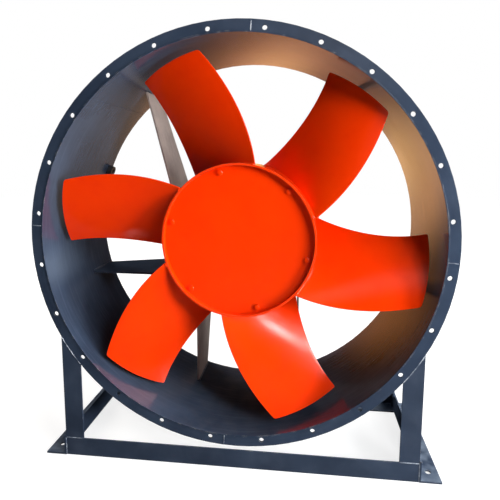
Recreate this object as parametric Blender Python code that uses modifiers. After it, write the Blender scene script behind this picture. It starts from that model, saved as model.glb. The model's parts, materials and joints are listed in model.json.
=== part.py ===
# Axial fan with a 1000 mm bore: a rolled casing on an angle-iron base, and a six-blade impeller on the
# shaft of a foot-mounted motor. Metres, +Z up. +Y runs from the inlet to the motor's tail, and the
# origin is on the floor under the middle of the whole fan. Depths are measured from the inlet flange's
# face, radii and heights from the fan's axis, and angles from +X towards +Z.

import math

import bmesh
import bpy
from mathutils import Euler, Matrix, Vector

# Fits and mesh steps
CLEARANCE = 0.0003
CUT_OVERRUN = 0.002
WELD_DISTANCE = 0.00001
SMOOTH_DEG = 35.0
CASING_STEPS = 96
HUB_STEPS = 60
MOTOR_STEPS = 28
SMALL_STEPS = 16
BOLT_STEPS = 10

# Casing
BORE_RADIUS = 0.5
SHELL_WALL = 0.003
CASING_DEPTH = 0.345
FLANGE_WIDTH = 0.0262
FLANGE_THICKNESS = 0.006
FLANGE_HOLE_COUNT = 24
FLANGE_HOLE_RADIUS = 0.006
FLANGE_HOLE_SETOUT = 0.0092

# Cable gland in the casing wall
GLAND_DEG = 160.0
GLAND_FLANGE_GAP = 0.001
GLAND_RADIUS = 0.016
GLAND_BORE_RADIUS = 0.007
GLAND_SHANK_RADIUS = 0.0105
GLAND_NUT_HEIGHT = 0.014
GLAND_BODY_HEIGHT = 0.02

# Base frame of angle iron
RAIL_FLANGE_GAP = 0.0115
ANGLE_LEG = 0.05
ANGLE_WALL = 0.005
SIDE_ANGLE_LEG = 0.056
SIDE_ANGLE_WALL = 0.005
BASE_INSET = 0.0402
FOOT_HOLE_RADIUS = 0.007
FOOT_HOLE_INSET = 0.035

# Motor carrier: the table, its two legs and its two stays
CARRIER_HUB_GAP = 0.025
CARRIER_WALL_MARGIN = 0.007
TABLE_REAR_MARGIN = 0.01
TABLE_THICKNESS = 0.006
TABLE_SIDE_MARGIN = 0.042
LEG_INSET = 0.016
LEG_THICKNESS = 0.005
STAY_INSET = 0.008
STAY_WALL_DEG = 53.5
STAY_THICKNESS = 0.005

# Motor housing and feet
HOUSING_RADIUS = 0.12
HOUSING_WALL = 0.006
HOUSING_LENGTH = 0.248
FIN_HEIGHT = 0.009
FIN_THICKNESS = 0.0035
FIN_COUNT = 24
FIN_FLOOR_GAP = 0.003
PACKING_THICKNESS = 0.0055
MOTOR_FOOT_THICKNESS = 0.014
MOTOR_FOOT_INSET = 0.04
MOTOR_FOOT_WIDTH = 0.046
MOTOR_FOOT_WEB = 0.01
MOTOR_FOOT_WEB_TOP = 0.05
MOTOR_FOOT_FRONT_SETBACK = 0.005
MOTOR_FOOT_REAR_SETBACK = 0.025
FOOT_BOLT_END_MARGIN = 0.02
FOOT_BOLT_GAP = 0.001

# Motor shields and bearings
SHIELD_NOSE_SETBACK = 0.008
SHIELD_NOSE_LENGTH = 0.022
SHIELD_HUB_RADIUS = 0.052
SHIELD_RIM_THICKNESS = 0.012
SHIELD_DISH = 0.0437
SHIELD_WALL = 0.012
SPIGOT_LENGTH = 0.01
SPIGOT_WALL = 0.0077
BEARING_RADIUS = 0.04
BEARING_WIDTH = 0.018
BEARING_LIP = 0.0105
BEARING_SEAT_RADIUS = 0.02
SHAFT_HOLE_GAP = 0.0025

# Motor core and winding
CORE_SETBACK = 0.054
STATOR_WALL = 0.029
AIR_GAP = 0.001
SLEEVE_WALL = 0.004
WINDING_BORE_GAP = 0.008
WINDING_OVERHANG = 0.03

# Motor tail
COWL_WALL = 0.0015
COWL_LIP_GAP = 0.002
COWL_END_GAP = 0.0066
COWL_SLOT_COUNT = 16
COWL_SLOT_WIDTH = 0.007
COWL_SLOT_INNER_RADIUS = 0.032
COWL_SLOT_RIM = 0.018
COOLING_FAN_TIP_GAP = 0.014
COOLING_FAN_HUB_RADIUS = 0.03
COOLING_FAN_WEB = 0.003
COOLING_FAN_WIDTH = 0.024
COOLING_FAN_SETBACK = 0.012
PADDLE_COUNT = 8
PADDLE_THICKNESS = 0.0025
TAIL_SHAFT_RADIUS = 0.016

# Terminal box on the motor
PAD_PROUD = 0.0035
PAD_HALF_WIDTH = 0.05
PAD_SETBACK = 0.04
PAD_LENGTH = 0.1
BOX_HALF_WIDTH = 0.055
BOX_LENGTH = 0.11
BOX_HEIGHT = 0.028
BOX_WALL = 0.003
LID_HEIGHT = 0.009
LID_BEVEL = 0.002
BOX_GLAND_RADIUS = 0.012
BOX_GLAND_BORE_RADIUS = 0.0055
BOX_GLAND_SHANK_RADIUS = 0.009
BOX_GLAND_LENGTH = 0.022
BOX_GLAND_NUT = 0.004

# Impeller hub
HUB_FRONT_DEPTH = 0.0365
HUB_LENGTH = 0.1535
HUB_RADIUS = 0.1985
HUB_WALL = 0.005
COVER_RECESS = 0.016
COVER_THICKNESS = 0.004
LEDGE_THICKNESS = 0.005
LEDGE_WIDTH = 0.0285
COVER_BOLT_COUNT = 6
COVER_BOLT_INSET = 0.0135
COVER_BOLT_START_DEG = 45.6
COVER_BOLT_GAP = 0.0005
HUB_PLATE_SETBACK = 0.0635
HUB_PLATE_THICKNESS = 0.006
BOSS_RADIUS = 0.04
BOSS_LENGTH = 0.077
SHOULDER_GAP = 0.006
SHAFT_RADIUS = 0.019
SHAFT_NOSE_INSET = 0.003
ROTOR_SHAFT_RADIUS = 0.027
KEY_WIDTH = 0.0094
KEY_HEIGHT = 0.008
KEY_NOSE_MARGIN = 0.004
KEY_TAIL_MARGIN = 0.008
KEYWAY_DEPTH = 0.005
END_WASHER_RADIUS = 0.03
END_WASHER_THICKNESS = 0.006
END_BOLT_ROOM = 0.004

# Impeller blades
BLADE_COUNT = 6
BLADE_THICKNESS = 0.003
BLADE_TIP_GAP = 0.009
BLADE_SPAN_STEPS = 12
BLADE_CHORD_STEPS = 7
BLADE_ROOT_OVERLAP = 0.003
LEAD_ROOT_DEG = 17.4
LEAD_BEND_DEG = 28.0
LEAD_TIP_DEG = 41.7
LEAD_BEND_SHARE = 0.347
TRAIL_ROOT_DEG = 75.0
TRAIL_BEND_DEG = 58.5
TRAIL_TIP_DEG = 62.5
TRAIL_BEND_SHARE = 0.26
LEAD_SETBACK = 0.0005
TRAIL_ROOT_RISE_SHARE = 0.977
TRAIL_BEND_RISE_SHARE = 0.404
TRAIL_TIP_RISE_SHARE = 0.414
TWIST_BEND_SHARE = 0.35
BLADE_BOW_ROOT = 0.014
BLADE_BOW_TIP = 0.008

# Bolts: shank radius, width across the head's flats, and head height
COVER_BOLT_SHANK = 0.004
COVER_BOLT_FLATS = 0.013
COVER_BOLT_HEAD = 0.0053
COVER_BOLT_TAIL = 0.006
FOOT_BOLT_SHANK = 0.005
FOOT_BOLT_FLATS = 0.016
FOOT_BOLT_HEAD = 0.0064
FOOT_NUT_HEIGHT = 0.008
FOOT_BOLT_TAIL = 0.004
END_BOLT_SHANK = 0.006
END_BOLT_FLATS = 0.018
END_BOLT_HEAD = 0.0075
END_BOLT_GRIP = 0.02

# Casing and base, worked out from the sizes above
SHELL_RADIUS = BORE_RADIUS + SHELL_WALL
WALL_RADIUS = BORE_RADIUS * math.cos(math.pi / CASING_STEPS) - CLEARANCE
FLANGE_BORE_RADIUS = SHELL_RADIUS + CLEARANCE
FLANGE_RADIUS = FLANGE_BORE_RADIUS + FLANGE_WIDTH
FLANGE_PITCH_RADIUS = FLANGE_BORE_RADIUS + FLANGE_HOLE_SETOUT
GLAND_DEPTH = CASING_DEPTH - FLANGE_THICKNESS - GLAND_FLANGE_GAP - GLAND_RADIUS
AXIS_HEIGHT = ANGLE_LEG + RAIL_FLANGE_GAP + FLANGE_RADIUS
FLOOR = -AXIS_HEIGHT
BASE_HALF_WIDTH = SHELL_RADIUS - BASE_INSET

# Hub and shaft end, worked out from the sizes above
HUB_REAR_DEPTH = HUB_FRONT_DEPTH + HUB_LENGTH
HUB_BORE_RADIUS = HUB_RADIUS - HUB_WALL
COVER_DEPTH = HUB_FRONT_DEPTH + COVER_RECESS
LEDGE_DEPTH = COVER_DEPTH + COVER_THICKNESS + CLEARANCE
COVER_BOLT_PITCH_RADIUS = HUB_BORE_RADIUS - COVER_BOLT_INSET
END_BOLT_DEPTH = LEDGE_DEPTH + END_BOLT_ROOM + END_BOLT_HEAD
END_WASHER_DEPTH = END_BOLT_DEPTH + CLEARANCE
BOSS_DEPTH = END_WASHER_DEPTH + END_WASHER_THICKNESS + CLEARANCE
SHAFT_NOSE_DEPTH = BOSS_DEPTH + SHAFT_NOSE_INSET
SHOULDER_DEPTH = BOSS_DEPTH + BOSS_LENGTH + SHOULDER_GAP
BLADE_TIP_RADIUS = BORE_RADIUS - BLADE_TIP_GAP

# Motor, worked out from the sizes above
HOUSING_BORE_RADIUS = HOUSING_RADIUS - HOUSING_WALL
ROTOR_RADIUS = HOUSING_BORE_RADIUS - STATOR_WALL - SLEEVE_WALL - AIR_GAP
SHIELD_NOSE_DEPTH = SHOULDER_DEPTH + SHIELD_NOSE_SETBACK
HOUSING_FRONT_DEPTH = SHIELD_NOSE_DEPTH + SHIELD_DISH + SHIELD_RIM_THICKNESS + CLEARANCE
HOUSING_REAR_DEPTH = HOUSING_FRONT_DEPTH + HOUSING_LENGTH
REAR_NOSE_DEPTH = HOUSING_REAR_DEPTH + CLEARANCE + SHIELD_RIM_THICKNESS + SHIELD_DISH
DRIVE_BEARING_DEPTH = SHIELD_NOSE_DEPTH + BEARING_LIP
REAR_BEARING_DEPTH = REAR_NOSE_DEPTH - BEARING_LIP - BEARING_WIDTH
SHAFT_HOLE_RADIUS = BEARING_SEAT_RADIUS + SHAFT_HOLE_GAP
CORE_FRONT_DEPTH = HOUSING_FRONT_DEPTH + CORE_SETBACK
CORE_REAR_DEPTH = HOUSING_REAR_DEPTH - CORE_SETBACK
WINDING_RADIUS = HOUSING_BORE_RADIUS - WINDING_BORE_GAP
COOLING_FAN_DEPTH = REAR_NOSE_DEPTH + COOLING_FAN_SETBACK
TAIL_SHAFT_DEPTH = COOLING_FAN_DEPTH + COOLING_FAN_WIDTH
GRILLE_DEPTH = TAIL_SHAFT_DEPTH + COWL_END_GAP
OVERALL_DEPTH = GRILLE_DEPTH + COWL_WALL

# Motor feet and carrier, worked out from the sizes above
SHAFT_HEIGHT = HOUSING_RADIUS + FIN_HEIGHT + FIN_FLOOR_GAP
PACKING_TOP = -SHAFT_HEIGHT - CLEARANCE
TABLE_TOP = PACKING_TOP - PACKING_THICKNESS - CLEARANCE
TABLE_BOTTOM = TABLE_TOP - TABLE_THICKNESS
MOTOR_FOOT_INNER_X = HOUSING_RADIUS - MOTOR_FOOT_INSET
MOTOR_FOOT_WEB_X = MOTOR_FOOT_INNER_X + MOTOR_FOOT_WEB
MOTOR_FOOT_OUTER_X = MOTOR_FOOT_INNER_X + MOTOR_FOOT_WIDTH
MOTOR_FOOT_FRONT_DEPTH = HOUSING_FRONT_DEPTH + MOTOR_FOOT_FRONT_SETBACK
MOTOR_FOOT_REAR_DEPTH = HOUSING_REAR_DEPTH - MOTOR_FOOT_REAR_SETBACK
FOOT_BOLT_X = (MOTOR_FOOT_WEB_X + MOTOR_FOOT_OUTER_X) / 2
TABLE_HALF_WIDTH = MOTOR_FOOT_OUTER_X + TABLE_SIDE_MARGIN
TABLE_REAR_DEPTH = MOTOR_FOOT_REAR_DEPTH + TABLE_REAR_MARGIN
LEG_X = TABLE_HALF_WIDTH - LEG_INSET
STAY_FOOT_X = TABLE_HALF_WIDTH - STAY_INSET
CARRIER_FRONT_DEPTH = HUB_REAR_DEPTH + CARRIER_HUB_GAP
CARRIER_WALL_REAR_DEPTH = CASING_DEPTH - CARRIER_WALL_MARGIN

# Turns that lay a shape's own Z along the fan's axis, or across the fan
ALONG_AXIS = Euler((-math.pi / 2, 0.0, 0.0))
ACROSS = Euler((math.pi / 2, 0.0, math.pi / 2))
LENGTHWISE = Euler((math.pi / 2, 0.0, 0.0))
UPRIGHT = Euler((0.0, 0.0, 0.0))


# Scene, materials and placing

def clear_scene():
    for item in list(bpy.data.objects):
        bpy.data.objects.remove(item, do_unlink=True)


def new_collection(name):
    collection = bpy.data.collections.new(name)
    bpy.context.scene.collection.children.link(collection)
    return collection


def new_material(name, colour, roughness, metallic):
    material = bpy.data.materials.new(name)
    material.use_nodes = True
    shader = material.node_tree.nodes["Principled BSDF"]
    shader.inputs["Base Color"].default_value = (*colour, 1.0)
    shader.inputs["Roughness"].default_value = roughness
    shader.inputs["Metallic"].default_value = metallic
    material.diffuse_color = (*colour, 1.0)
    return material


clear_scene()
PARTS = new_collection("axial_fan")
CUTTERS = new_collection("cutters")

SLATE_PAINT = new_material("slate_paint", (0.035, 0.052, 0.078), 0.42, 0.0)
ORANGE_PAINT = new_material("orange_paint", (1.0, 0.055, 0.0), 0.35, 0.0)
MOTOR_PAINT = new_material("motor_paint", (0.05, 0.09, 0.16), 0.5, 0.0)
ZINC = new_material("zinc", (0.55, 0.56, 0.58), 0.35, 1.0)
STEEL = new_material("steel", (0.42, 0.42, 0.43), 0.3, 1.0)
LAMINATION = new_material("lamination", (0.25, 0.26, 0.28), 0.5, 1.0)
COPPER = new_material("copper", (0.6, 0.22, 0.08), 0.4, 1.0)
BLACK_PLASTIC = new_material("black_plastic", (0.02, 0.02, 0.022), 0.45, 0.0)


def new_empty(name, location, parent=None):
    empty = bpy.data.objects.new(name, None)
    empty.location = location
    empty.parent = parent
    PARTS.objects.link(empty)
    return empty


# The fan's axis at the inlet face carries what stands still, and the impeller's axis what turns.
FAN_AXIS = new_empty("fan_axis", (0.0, -OVERALL_DEPTH / 2, AXIS_HEIGHT))
IMPELLER_AXIS = new_empty("impeller_axis", (0.0, 0.0, 0.0), FAN_AXIS)


def place(data, name, material, parent=FAN_AXIS, location=(0.0, 0.0, 0.0), rotation=UPRIGHT):
    """Put mesh or curve data into the fan as one sub-part."""
    item = bpy.data.objects.new(name, data)
    item.parent = parent
    item.location = location
    item.rotation_euler = rotation
    if material is not None and not data.materials:
        data.materials.append(material)
    PARTS.objects.link(item)
    return item


def as_cutter(item):
    """Turn a placed object into one that only cuts."""
    PARTS.objects.unlink(item)
    CUTTERS.objects.link(item)
    item.hide_render = True
    item.display_type = "WIRE"
    return item


def smooth(item):
    item.data.shade_smooth()
    item.data.set_sharp_from_angle(angle=math.radians(SMOOTH_DEG))
    return item


# Joining and finishing

def boolean(item, other, operation):
    modifier = item.modifiers.new(operation.lower(), "BOOLEAN")
    modifier.operation = operation
    modifier.solver = "EXACT"
    modifier.object = other
    return item


def to_mesh_object(item, material, leftovers=()):
    """Replace an object, and what was joined to it, by its evaluated mesh."""
    bpy.context.view_layer.update()
    evaluated = item.evaluated_get(bpy.context.evaluated_depsgraph_get())
    mesh = bpy.data.meshes.new_from_object(evaluated)
    shape = bmesh.new()
    shape.from_mesh(mesh)
    bmesh.ops.remove_doubles(shape, verts=shape.verts, dist=WELD_DISTANCE)
    shape.to_mesh(mesh)
    shape.free()
    mesh.materials.clear()
    name = item.name
    parent, location, rotation = item.parent, item.location.copy(), item.rotation_euler.copy()
    for old in (item, *leftovers):
        bpy.data.objects.remove(old, do_unlink=True)
    mesh.name = name
    return place(mesh, name, material, parent=parent, location=location, rotation=rotation)


# Shapes

def turned(name, profile, steps, material, **placing):
    """A profile of (radius, height) points, outer side first and downwards, turned about its own Z."""
    mesh = bpy.data.meshes.new(name)
    shape = bmesh.new()
    points = [shape.verts.new((radius, 0.0, height)) for radius, height in profile]
    for start, end in zip(points, points[1:]):
        shape.edges.new((start, end))
    if profile[0][0] > 0.0:
        shape.edges.new((points[-1], points[0]))
    shape.to_mesh(mesh)
    shape.free()
    item = place(mesh, name, material, **placing)
    screw = item.modifiers.new("turn", "SCREW")
    screw.axis = "Z"
    screw.angle = 2 * math.pi
    screw.steps = steps
    screw.render_steps = steps
    screw.use_merge_vertices = True
    screw.merge_threshold = WELD_DISTANCE
    screw.use_normal_calculate = False
    return smooth(to_mesh_object(item, material))


def ring(name, inner, outer, start, end, steps, material, **placing):
    """A plain ring between two radii and two heights."""
    profile = [(outer, end), (outer, start), (inner, start), (inner, end)]
    return turned(name, profile, steps, material, **placing)


def outlined(name, outline, thickness, material, **placing):
    """A flat outline, filled and given its thickness along its own Z."""
    curve = bpy.data.curves.new(name, "CURVE")
    curve.dimensions = "2D"
    curve.fill_mode = "BOTH"
    curve.extrude = thickness / 2
    spline = curve.splines.new("POLY")
    spline.points.add(len(outline) - 1)
    for point, (x, y) in zip(spline.points, outline):
        point.co = (x, y, 0.0, 1.0)
    spline.use_cyclic_u = True
    return place(curve, name, material, **placing)


def box(name, low, high, material, **placing):
    """A box between two corners."""
    mesh = bpy.data.meshes.new(name)
    shape = bmesh.new()
    bmesh.ops.create_cube(shape, size=1.0)
    size = [top - bottom for bottom, top in zip(low, high)]
    middle = [(top + bottom) / 2 for bottom, top in zip(low, high)]
    shape.transform(Matrix.Translation(middle) @ Matrix.Diagonal((*size, 1.0)))
    shape.to_mesh(mesh)
    shape.free()
    return place(mesh, name, material, **placing)


def add_prism(shape, radius, start, end, steps, centre=(0.0, 0.0), phase=0.0):
    """Add a closed prism along Z, from one height to another, to a bmesh."""
    spin = Matrix.Rotation(phase, 4, "Z")
    middle = Matrix.Translation((centre[0], centre[1], (start + end) / 2))
    bmesh.ops.create_cone(shape, cap_ends=True, segments=steps, radius1=radius, radius2=radius,
                          depth=end - start, matrix=middle @ spin)


def prisms(name, places, radius, start, end, steps, material=None, **placing):
    """Closed prisms of one size, standing apart at the given (x, y) places."""
    mesh = bpy.data.meshes.new(name)
    shape = bmesh.new()
    for centre in places:
        add_prism(shape, radius, start, end, steps, centre)
    shape.to_mesh(mesh)
    shape.free()
    return place(mesh, name, material, **placing)


def on_circle(radius, degrees):
    angle = math.radians(degrees)
    return radius * math.cos(angle), radius * math.sin(angle)


def hole_places(radius, count, start_deg):
    """Places round the axis, in the own XY plane of a shape that lies along the axis."""
    spots = [on_circle(radius, start_deg + 360.0 * k / count) for k in range(count)]
    return [(x, -y) for x, y in spots]


def half_chord(radius, offset):
    return math.sqrt(radius ** 2 - offset ** 2)


# Casing

def flange(name, start, end):
    item = ring(name, FLANGE_BORE_RADIUS, FLANGE_RADIUS, start, end, CASING_STEPS, SLATE_PAINT,
                rotation=ALONG_AXIS)
    places = hole_places(FLANGE_PITCH_RADIUS, FLANGE_HOLE_COUNT, 180.0 / FLANGE_HOLE_COUNT)
    drills = prisms(name + "_drills", places, FLANGE_HOLE_RADIUS, start - CUT_OVERRUN, end + CUT_OVERRUN,
                    BOLT_STEPS, rotation=ALONG_AXIS)
    return boolean(item, as_cutter(drills), "DIFFERENCE")


def make_casing():
    shell = ring("casing_shell", BORE_RADIUS, SHELL_RADIUS, 0.0, CASING_DEPTH, CASING_STEPS, SLATE_PAINT,
                 rotation=ALONG_AXIS)
    flange("front_flange", 0.0, FLANGE_THICKNESS)
    flange("rear_flange", CASING_DEPTH - FLANGE_THICKNESS, CASING_DEPTH)

    # The gland's own Z points outwards, square to the wall.
    radial = Euler((0.0, math.radians(90.0 - GLAND_DEG), 0.0))
    spot = (0.0, GLAND_DEPTH, 0.0)
    drill = prisms("gland_drill", [(0.0, 0.0)], GLAND_SHANK_RADIUS + CLEARANCE, BORE_RADIUS - GLAND_RADIUS,
                   SHELL_RADIUS + GLAND_RADIUS, SMALL_STEPS, location=spot, rotation=radial)
    boolean(shell, as_cutter(drill), "DIFFERENCE")
    inner_face = half_chord(WALL_RADIUS, GLAND_RADIUS) - CLEARANCE
    outer_face = SHELL_RADIUS + CLEARANCE
    gland = [(GLAND_RADIUS, outer_face + GLAND_BODY_HEIGHT), (GLAND_RADIUS, outer_face),
             (GLAND_SHANK_RADIUS, outer_face), (GLAND_SHANK_RADIUS, inner_face),
             (GLAND_RADIUS, inner_face), (GLAND_RADIUS, inner_face - GLAND_NUT_HEIGHT),
             (GLAND_BORE_RADIUS, inner_face - GLAND_NUT_HEIGHT),
             (GLAND_BORE_RADIUS, outer_face + GLAND_BODY_HEIGHT)]
    turned("cable_gland", gland, SMALL_STEPS, BLACK_PLASTIC, location=spot, rotation=radial)


# Base frame

def angle_section(leg_a, leg_b, wall, turn_a=1.0, turn_b=1.0):
    """An L with its heel at the origin, one leg along X and one along Y."""
    points = [(0.0, 0.0), (leg_a, 0.0), (leg_a, wall), (wall, wall), (wall, leg_b), (0.0, leg_b)]
    section = [(turn_a * x, turn_b * y) for x, y in points]
    return section if turn_a * turn_b > 0.0 else section[::-1]


def casing_envelope():
    """The casing's outside with its clearance, which copes the uprights."""
    flange_radius = FLANGE_RADIUS + CLEARANCE
    front_step = FLANGE_THICKNESS + CLEARANCE
    rear_step = CASING_DEPTH - FLANGE_THICKNESS - CLEARANCE
    profile = [(0.0, CASING_DEPTH + CUT_OVERRUN), (flange_radius, CASING_DEPTH + CUT_OVERRUN),
               (flange_radius, rear_step), (FLANGE_BORE_RADIUS, rear_step), (FLANGE_BORE_RADIUS, front_step),
               (flange_radius, front_step), (flange_radius, -CUT_OVERRUN), (0.0, -CUT_OVERRUN)]
    return as_cutter(turned("casing_envelope", profile, CASING_STEPS, None, rotation=ALONG_AXIS))


def make_base():
    rail_length = 2 * BASE_HALF_WIDTH
    outlined("front_rail", angle_section(ANGLE_LEG, ANGLE_LEG, ANGLE_WALL), rail_length, SLATE_PAINT,
             location=(0.0, 0.0, FLOOR), rotation=ACROSS)
    outlined("rear_rail", angle_section(ANGLE_LEG, ANGLE_LEG, ANGLE_WALL, turn_a=-1.0), rail_length,
             SLATE_PAINT, location=(0.0, CASING_DEPTH, FLOOR), rotation=ACROSS)

    envelope = casing_envelope()
    upright_bottom = FLOOR + ANGLE_LEG + CLEARANCE
    upright_top = ANGLE_WALL - half_chord(SHELL_RADIUS, BASE_HALF_WIDTH)
    for side_name, side in (("left", -1.0), ("right", 1.0)):
        rail_x = side * (BASE_HALF_WIDTH + CLEARANCE)
        section = angle_section(SIDE_ANGLE_LEG, SIDE_ANGLE_LEG, SIDE_ANGLE_WALL, turn_a=side)
        rail = outlined("side_rail_" + side_name, section, CASING_DEPTH, SLATE_PAINT,
                        location=(rail_x, CASING_DEPTH / 2, FLOOR), rotation=LENGTHWISE)
        rail = to_mesh_object(rail, SLATE_PAINT)
        hole_x = rail_x + side * (SIDE_ANGLE_LEG + SIDE_ANGLE_WALL) / 2
        spots = [(hole_x, FOOT_HOLE_INSET), (hole_x, CASING_DEPTH - FOOT_HOLE_INSET)]
        drills = prisms("foot_drills_" + side_name, spots, FOOT_HOLE_RADIUS, FLOOR - CUT_OVERRUN,
                        FLOOR + SIDE_ANGLE_WALL + CUT_OVERRUN, BOLT_STEPS)
        boolean(rail, as_cutter(drills), "DIFFERENCE")

        for end_name, depth, turn in (("front", 0.0, 1.0), ("rear", CASING_DEPTH, -1.0)):
            name = "upright_" + end_name + "_" + side_name
            section = angle_section(ANGLE_LEG, ANGLE_LEG, ANGLE_WALL, turn_a=-side, turn_b=turn)
            post = outlined(name, section, upright_top - upright_bottom, SLATE_PAINT,
                            location=(side * BASE_HALF_WIDTH, depth, (upright_top + upright_bottom) / 2))
            boolean(to_mesh_object(post, SLATE_PAINT), envelope, "DIFFERENCE")


# Motor carrier

def make_carrier():
    wall_x = half_chord(WALL_RADIUS, TABLE_BOTTOM)
    table = [(-wall_x, CARRIER_FRONT_DEPTH), (wall_x, CARRIER_FRONT_DEPTH),
             (wall_x, CARRIER_WALL_REAR_DEPTH), (TABLE_HALF_WIDTH, TABLE_REAR_DEPTH),
             (-TABLE_HALF_WIDTH, TABLE_REAR_DEPTH), (-wall_x, CARRIER_WALL_REAR_DEPTH)]
    plate = outlined("motor_table", table, TABLE_THICKNESS, SLATE_PAINT,
                     location=(0.0, 0.0, (TABLE_TOP + TABLE_BOTTOM) / 2))
    plate = to_mesh_object(plate, SLATE_PAINT)
    boolean(plate, foot_drills(), "DIFFERENCE")

    leg_foot = -half_chord(WALL_RADIUS, LEG_X + LEG_THICKNESS / 2)
    leg_head = TABLE_BOTTOM - CLEARANCE
    leg = [(CARRIER_FRONT_DEPTH, leg_foot), (CARRIER_WALL_REAR_DEPTH, leg_foot),
           (TABLE_REAR_DEPTH, leg_head), (CARRIER_FRONT_DEPTH, leg_head)]
    stay_wall = Vector(on_circle(WALL_RADIUS, STAY_WALL_DEG))
    stay_foot = Vector((STAY_FOOT_X, TABLE_TOP))
    run = (stay_wall - stay_foot).normalized()
    across = Vector((-run.y, run.x)) * (STAY_THICKNESS / 2)
    stay_start = (CLEARANCE + abs(across.y)) / run.y
    stay_end = min(reach(stay_foot + across, run), reach(stay_foot - across, run))
    stay = [(stay_start, CARRIER_FRONT_DEPTH), (stay_end, CARRIER_FRONT_DEPTH),
            (stay_end, CARRIER_WALL_REAR_DEPTH), (stay_start, TABLE_REAR_DEPTH)]
    lean = math.atan2(run.y, run.x)
    for side_name, side in (("left", -1.0), ("right", 1.0)):
        outlined("table_leg_" + side_name, leg, LEG_THICKNESS, SLATE_PAINT,
                 location=(side * LEG_X, 0.0, 0.0), rotation=ACROSS)
        turn = -lean if side > 0.0 else lean - math.pi
        outlined("motor_stay_" + side_name, stay, STAY_THICKNESS, SLATE_PAINT,
                 location=(side * STAY_FOOT_X, 0.0, TABLE_TOP), rotation=Euler((0.0, turn, 0.0)))


def reach(start, run):
    """Distance from a point inside the casing to its wall, along a direction square to the axis."""
    along = start.dot(run)
    return math.sqrt(along ** 2 + WALL_RADIUS ** 2 - start.dot(start)) - along


def foot_bolt_places():
    rows = (MOTOR_FOOT_FRONT_DEPTH + FOOT_BOLT_END_MARGIN, MOTOR_FOOT_REAR_DEPTH - FOOT_BOLT_END_MARGIN)
    return [(side * FOOT_BOLT_X, depth) for depth in rows for side in (-1.0, 1.0)]


def foot_drills():
    """One set of drills for the motor's feet, the packing bars and the table."""
    top = MOTOR_FOOT_THICKNESS - SHAFT_HEIGHT + FOOT_BOLT_HEAD
    drills = prisms("motor_foot_drills", foot_bolt_places(), FOOT_BOLT_SHANK + FOOT_BOLT_GAP,
                    TABLE_BOTTOM - CUT_OVERRUN, top, BOLT_STEPS)
    return as_cutter(drills)


# Bolts and nuts

def hexagon(name, flats, start, end, material, **placing):
    return prisms(name, [(0.0, 0.0)], flats / math.sqrt(3.0), start, end, 6, material, **placing)


def bolt(name, flats, head, shank, length, material, **placing):
    """A bolt along its own Z: the head ends at zero and the shank runs on above it."""
    item = hexagon(name, flats, -head, 0.0, material, **placing)
    tail = prisms(name + "_shank", [(0.0, 0.0)], shank, -head / 2, length, BOLT_STEPS, material, **placing)
    return to_mesh_object(boolean(item, tail, "UNION"), material, [tail])


def nut(name, flats, height, bore, material, **placing):
    item = hexagon(name, flats, 0.0, height, material, **placing)
    hole = prisms(name + "_bore", [(0.0, 0.0)], bore, -CUT_OVERRUN, height + CUT_OVERRUN, BOLT_STEPS,
                  **placing)
    return to_mesh_object(boolean(item, hole, "DIFFERENCE"), material, [hole])


# Motor

def fin_outline():
    """The housing's outer outline: flat-topped fins round a cylinder."""
    points = []
    tip = HOUSING_RADIUS + FIN_HEIGHT
    root_half = math.asin(FIN_THICKNESS / 2 / HOUSING_RADIUS)
    tip_half = math.asin(FIN_THICKNESS / 2 / tip)
    for k in range(FIN_COUNT):
        middle = 2 * math.pi * (k + 0.5) / FIN_COUNT
        corners = ((HOUSING_RADIUS, -root_half), (tip, -tip_half), (tip, tip_half),
                   (HOUSING_RADIUS, root_half))
        points += [(r * math.cos(middle + a), r * math.sin(middle + a)) for r, a in corners]
    return points


def make_housing():
    middle = (HOUSING_FRONT_DEPTH + HOUSING_REAR_DEPTH) / 2
    housing = outlined("motor_housing", fin_outline(), HOUSING_LENGTH, MOTOR_PAINT,
                       location=(0.0, middle, 0.0), rotation=ALONG_AXIS)
    housing = to_mesh_object(housing, MOTOR_PAINT)
    pad_front = HOUSING_FRONT_DEPTH + PAD_SETBACK
    pad = box("terminal_pad", (-PAD_HALF_WIDTH, pad_front, 0.0),
              (PAD_HALF_WIDTH, pad_front + PAD_LENGTH, pad_top()), None)
    foot_top = MOTOR_FOOT_THICKNESS - SHAFT_HEIGHT
    web_top = -MOTOR_FOOT_WEB_TOP
    right_foot = [(MOTOR_FOOT_WEB_X, web_top), (MOTOR_FOOT_WEB_X, foot_top), (MOTOR_FOOT_OUTER_X, foot_top),
                  (MOTOR_FOOT_OUTER_X, -SHAFT_HEIGHT), (MOTOR_FOOT_INNER_X, -SHAFT_HEIGHT),
                  (MOTOR_FOOT_INNER_X, web_top - MOTOR_FOOT_WEB)]
    left_foot = [(-x, y) for x, y in reversed(right_foot)]
    foot_middle = (MOTOR_FOOT_FRONT_DEPTH + MOTOR_FOOT_REAR_DEPTH) / 2
    feet = outlined("motor_feet", right_foot + left_foot, MOTOR_FOOT_REAR_DEPTH - MOTOR_FOOT_FRONT_DEPTH,
                    None, location=(0.0, foot_middle, 0.0), rotation=LENGTHWISE)
    feet = to_mesh_object(feet, None)
    bore = prisms("housing_bore", [(0.0, 0.0)], HOUSING_BORE_RADIUS, HOUSING_FRONT_DEPTH - CUT_OVERRUN,
                  HOUSING_REAR_DEPTH + CUT_OVERRUN, MOTOR_STEPS, rotation=ALONG_AXIS)
    boolean(housing, pad, "UNION")
    boolean(housing, feet, "UNION")
    boolean(housing, bore, "DIFFERENCE")
    housing = to_mesh_object(housing, MOTOR_PAINT, [pad, feet, bore])
    boolean(housing, foot_drills(), "DIFFERENCE")


def pad_top():
    return HOUSING_RADIUS + FIN_HEIGHT + PAD_PROUD


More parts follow.
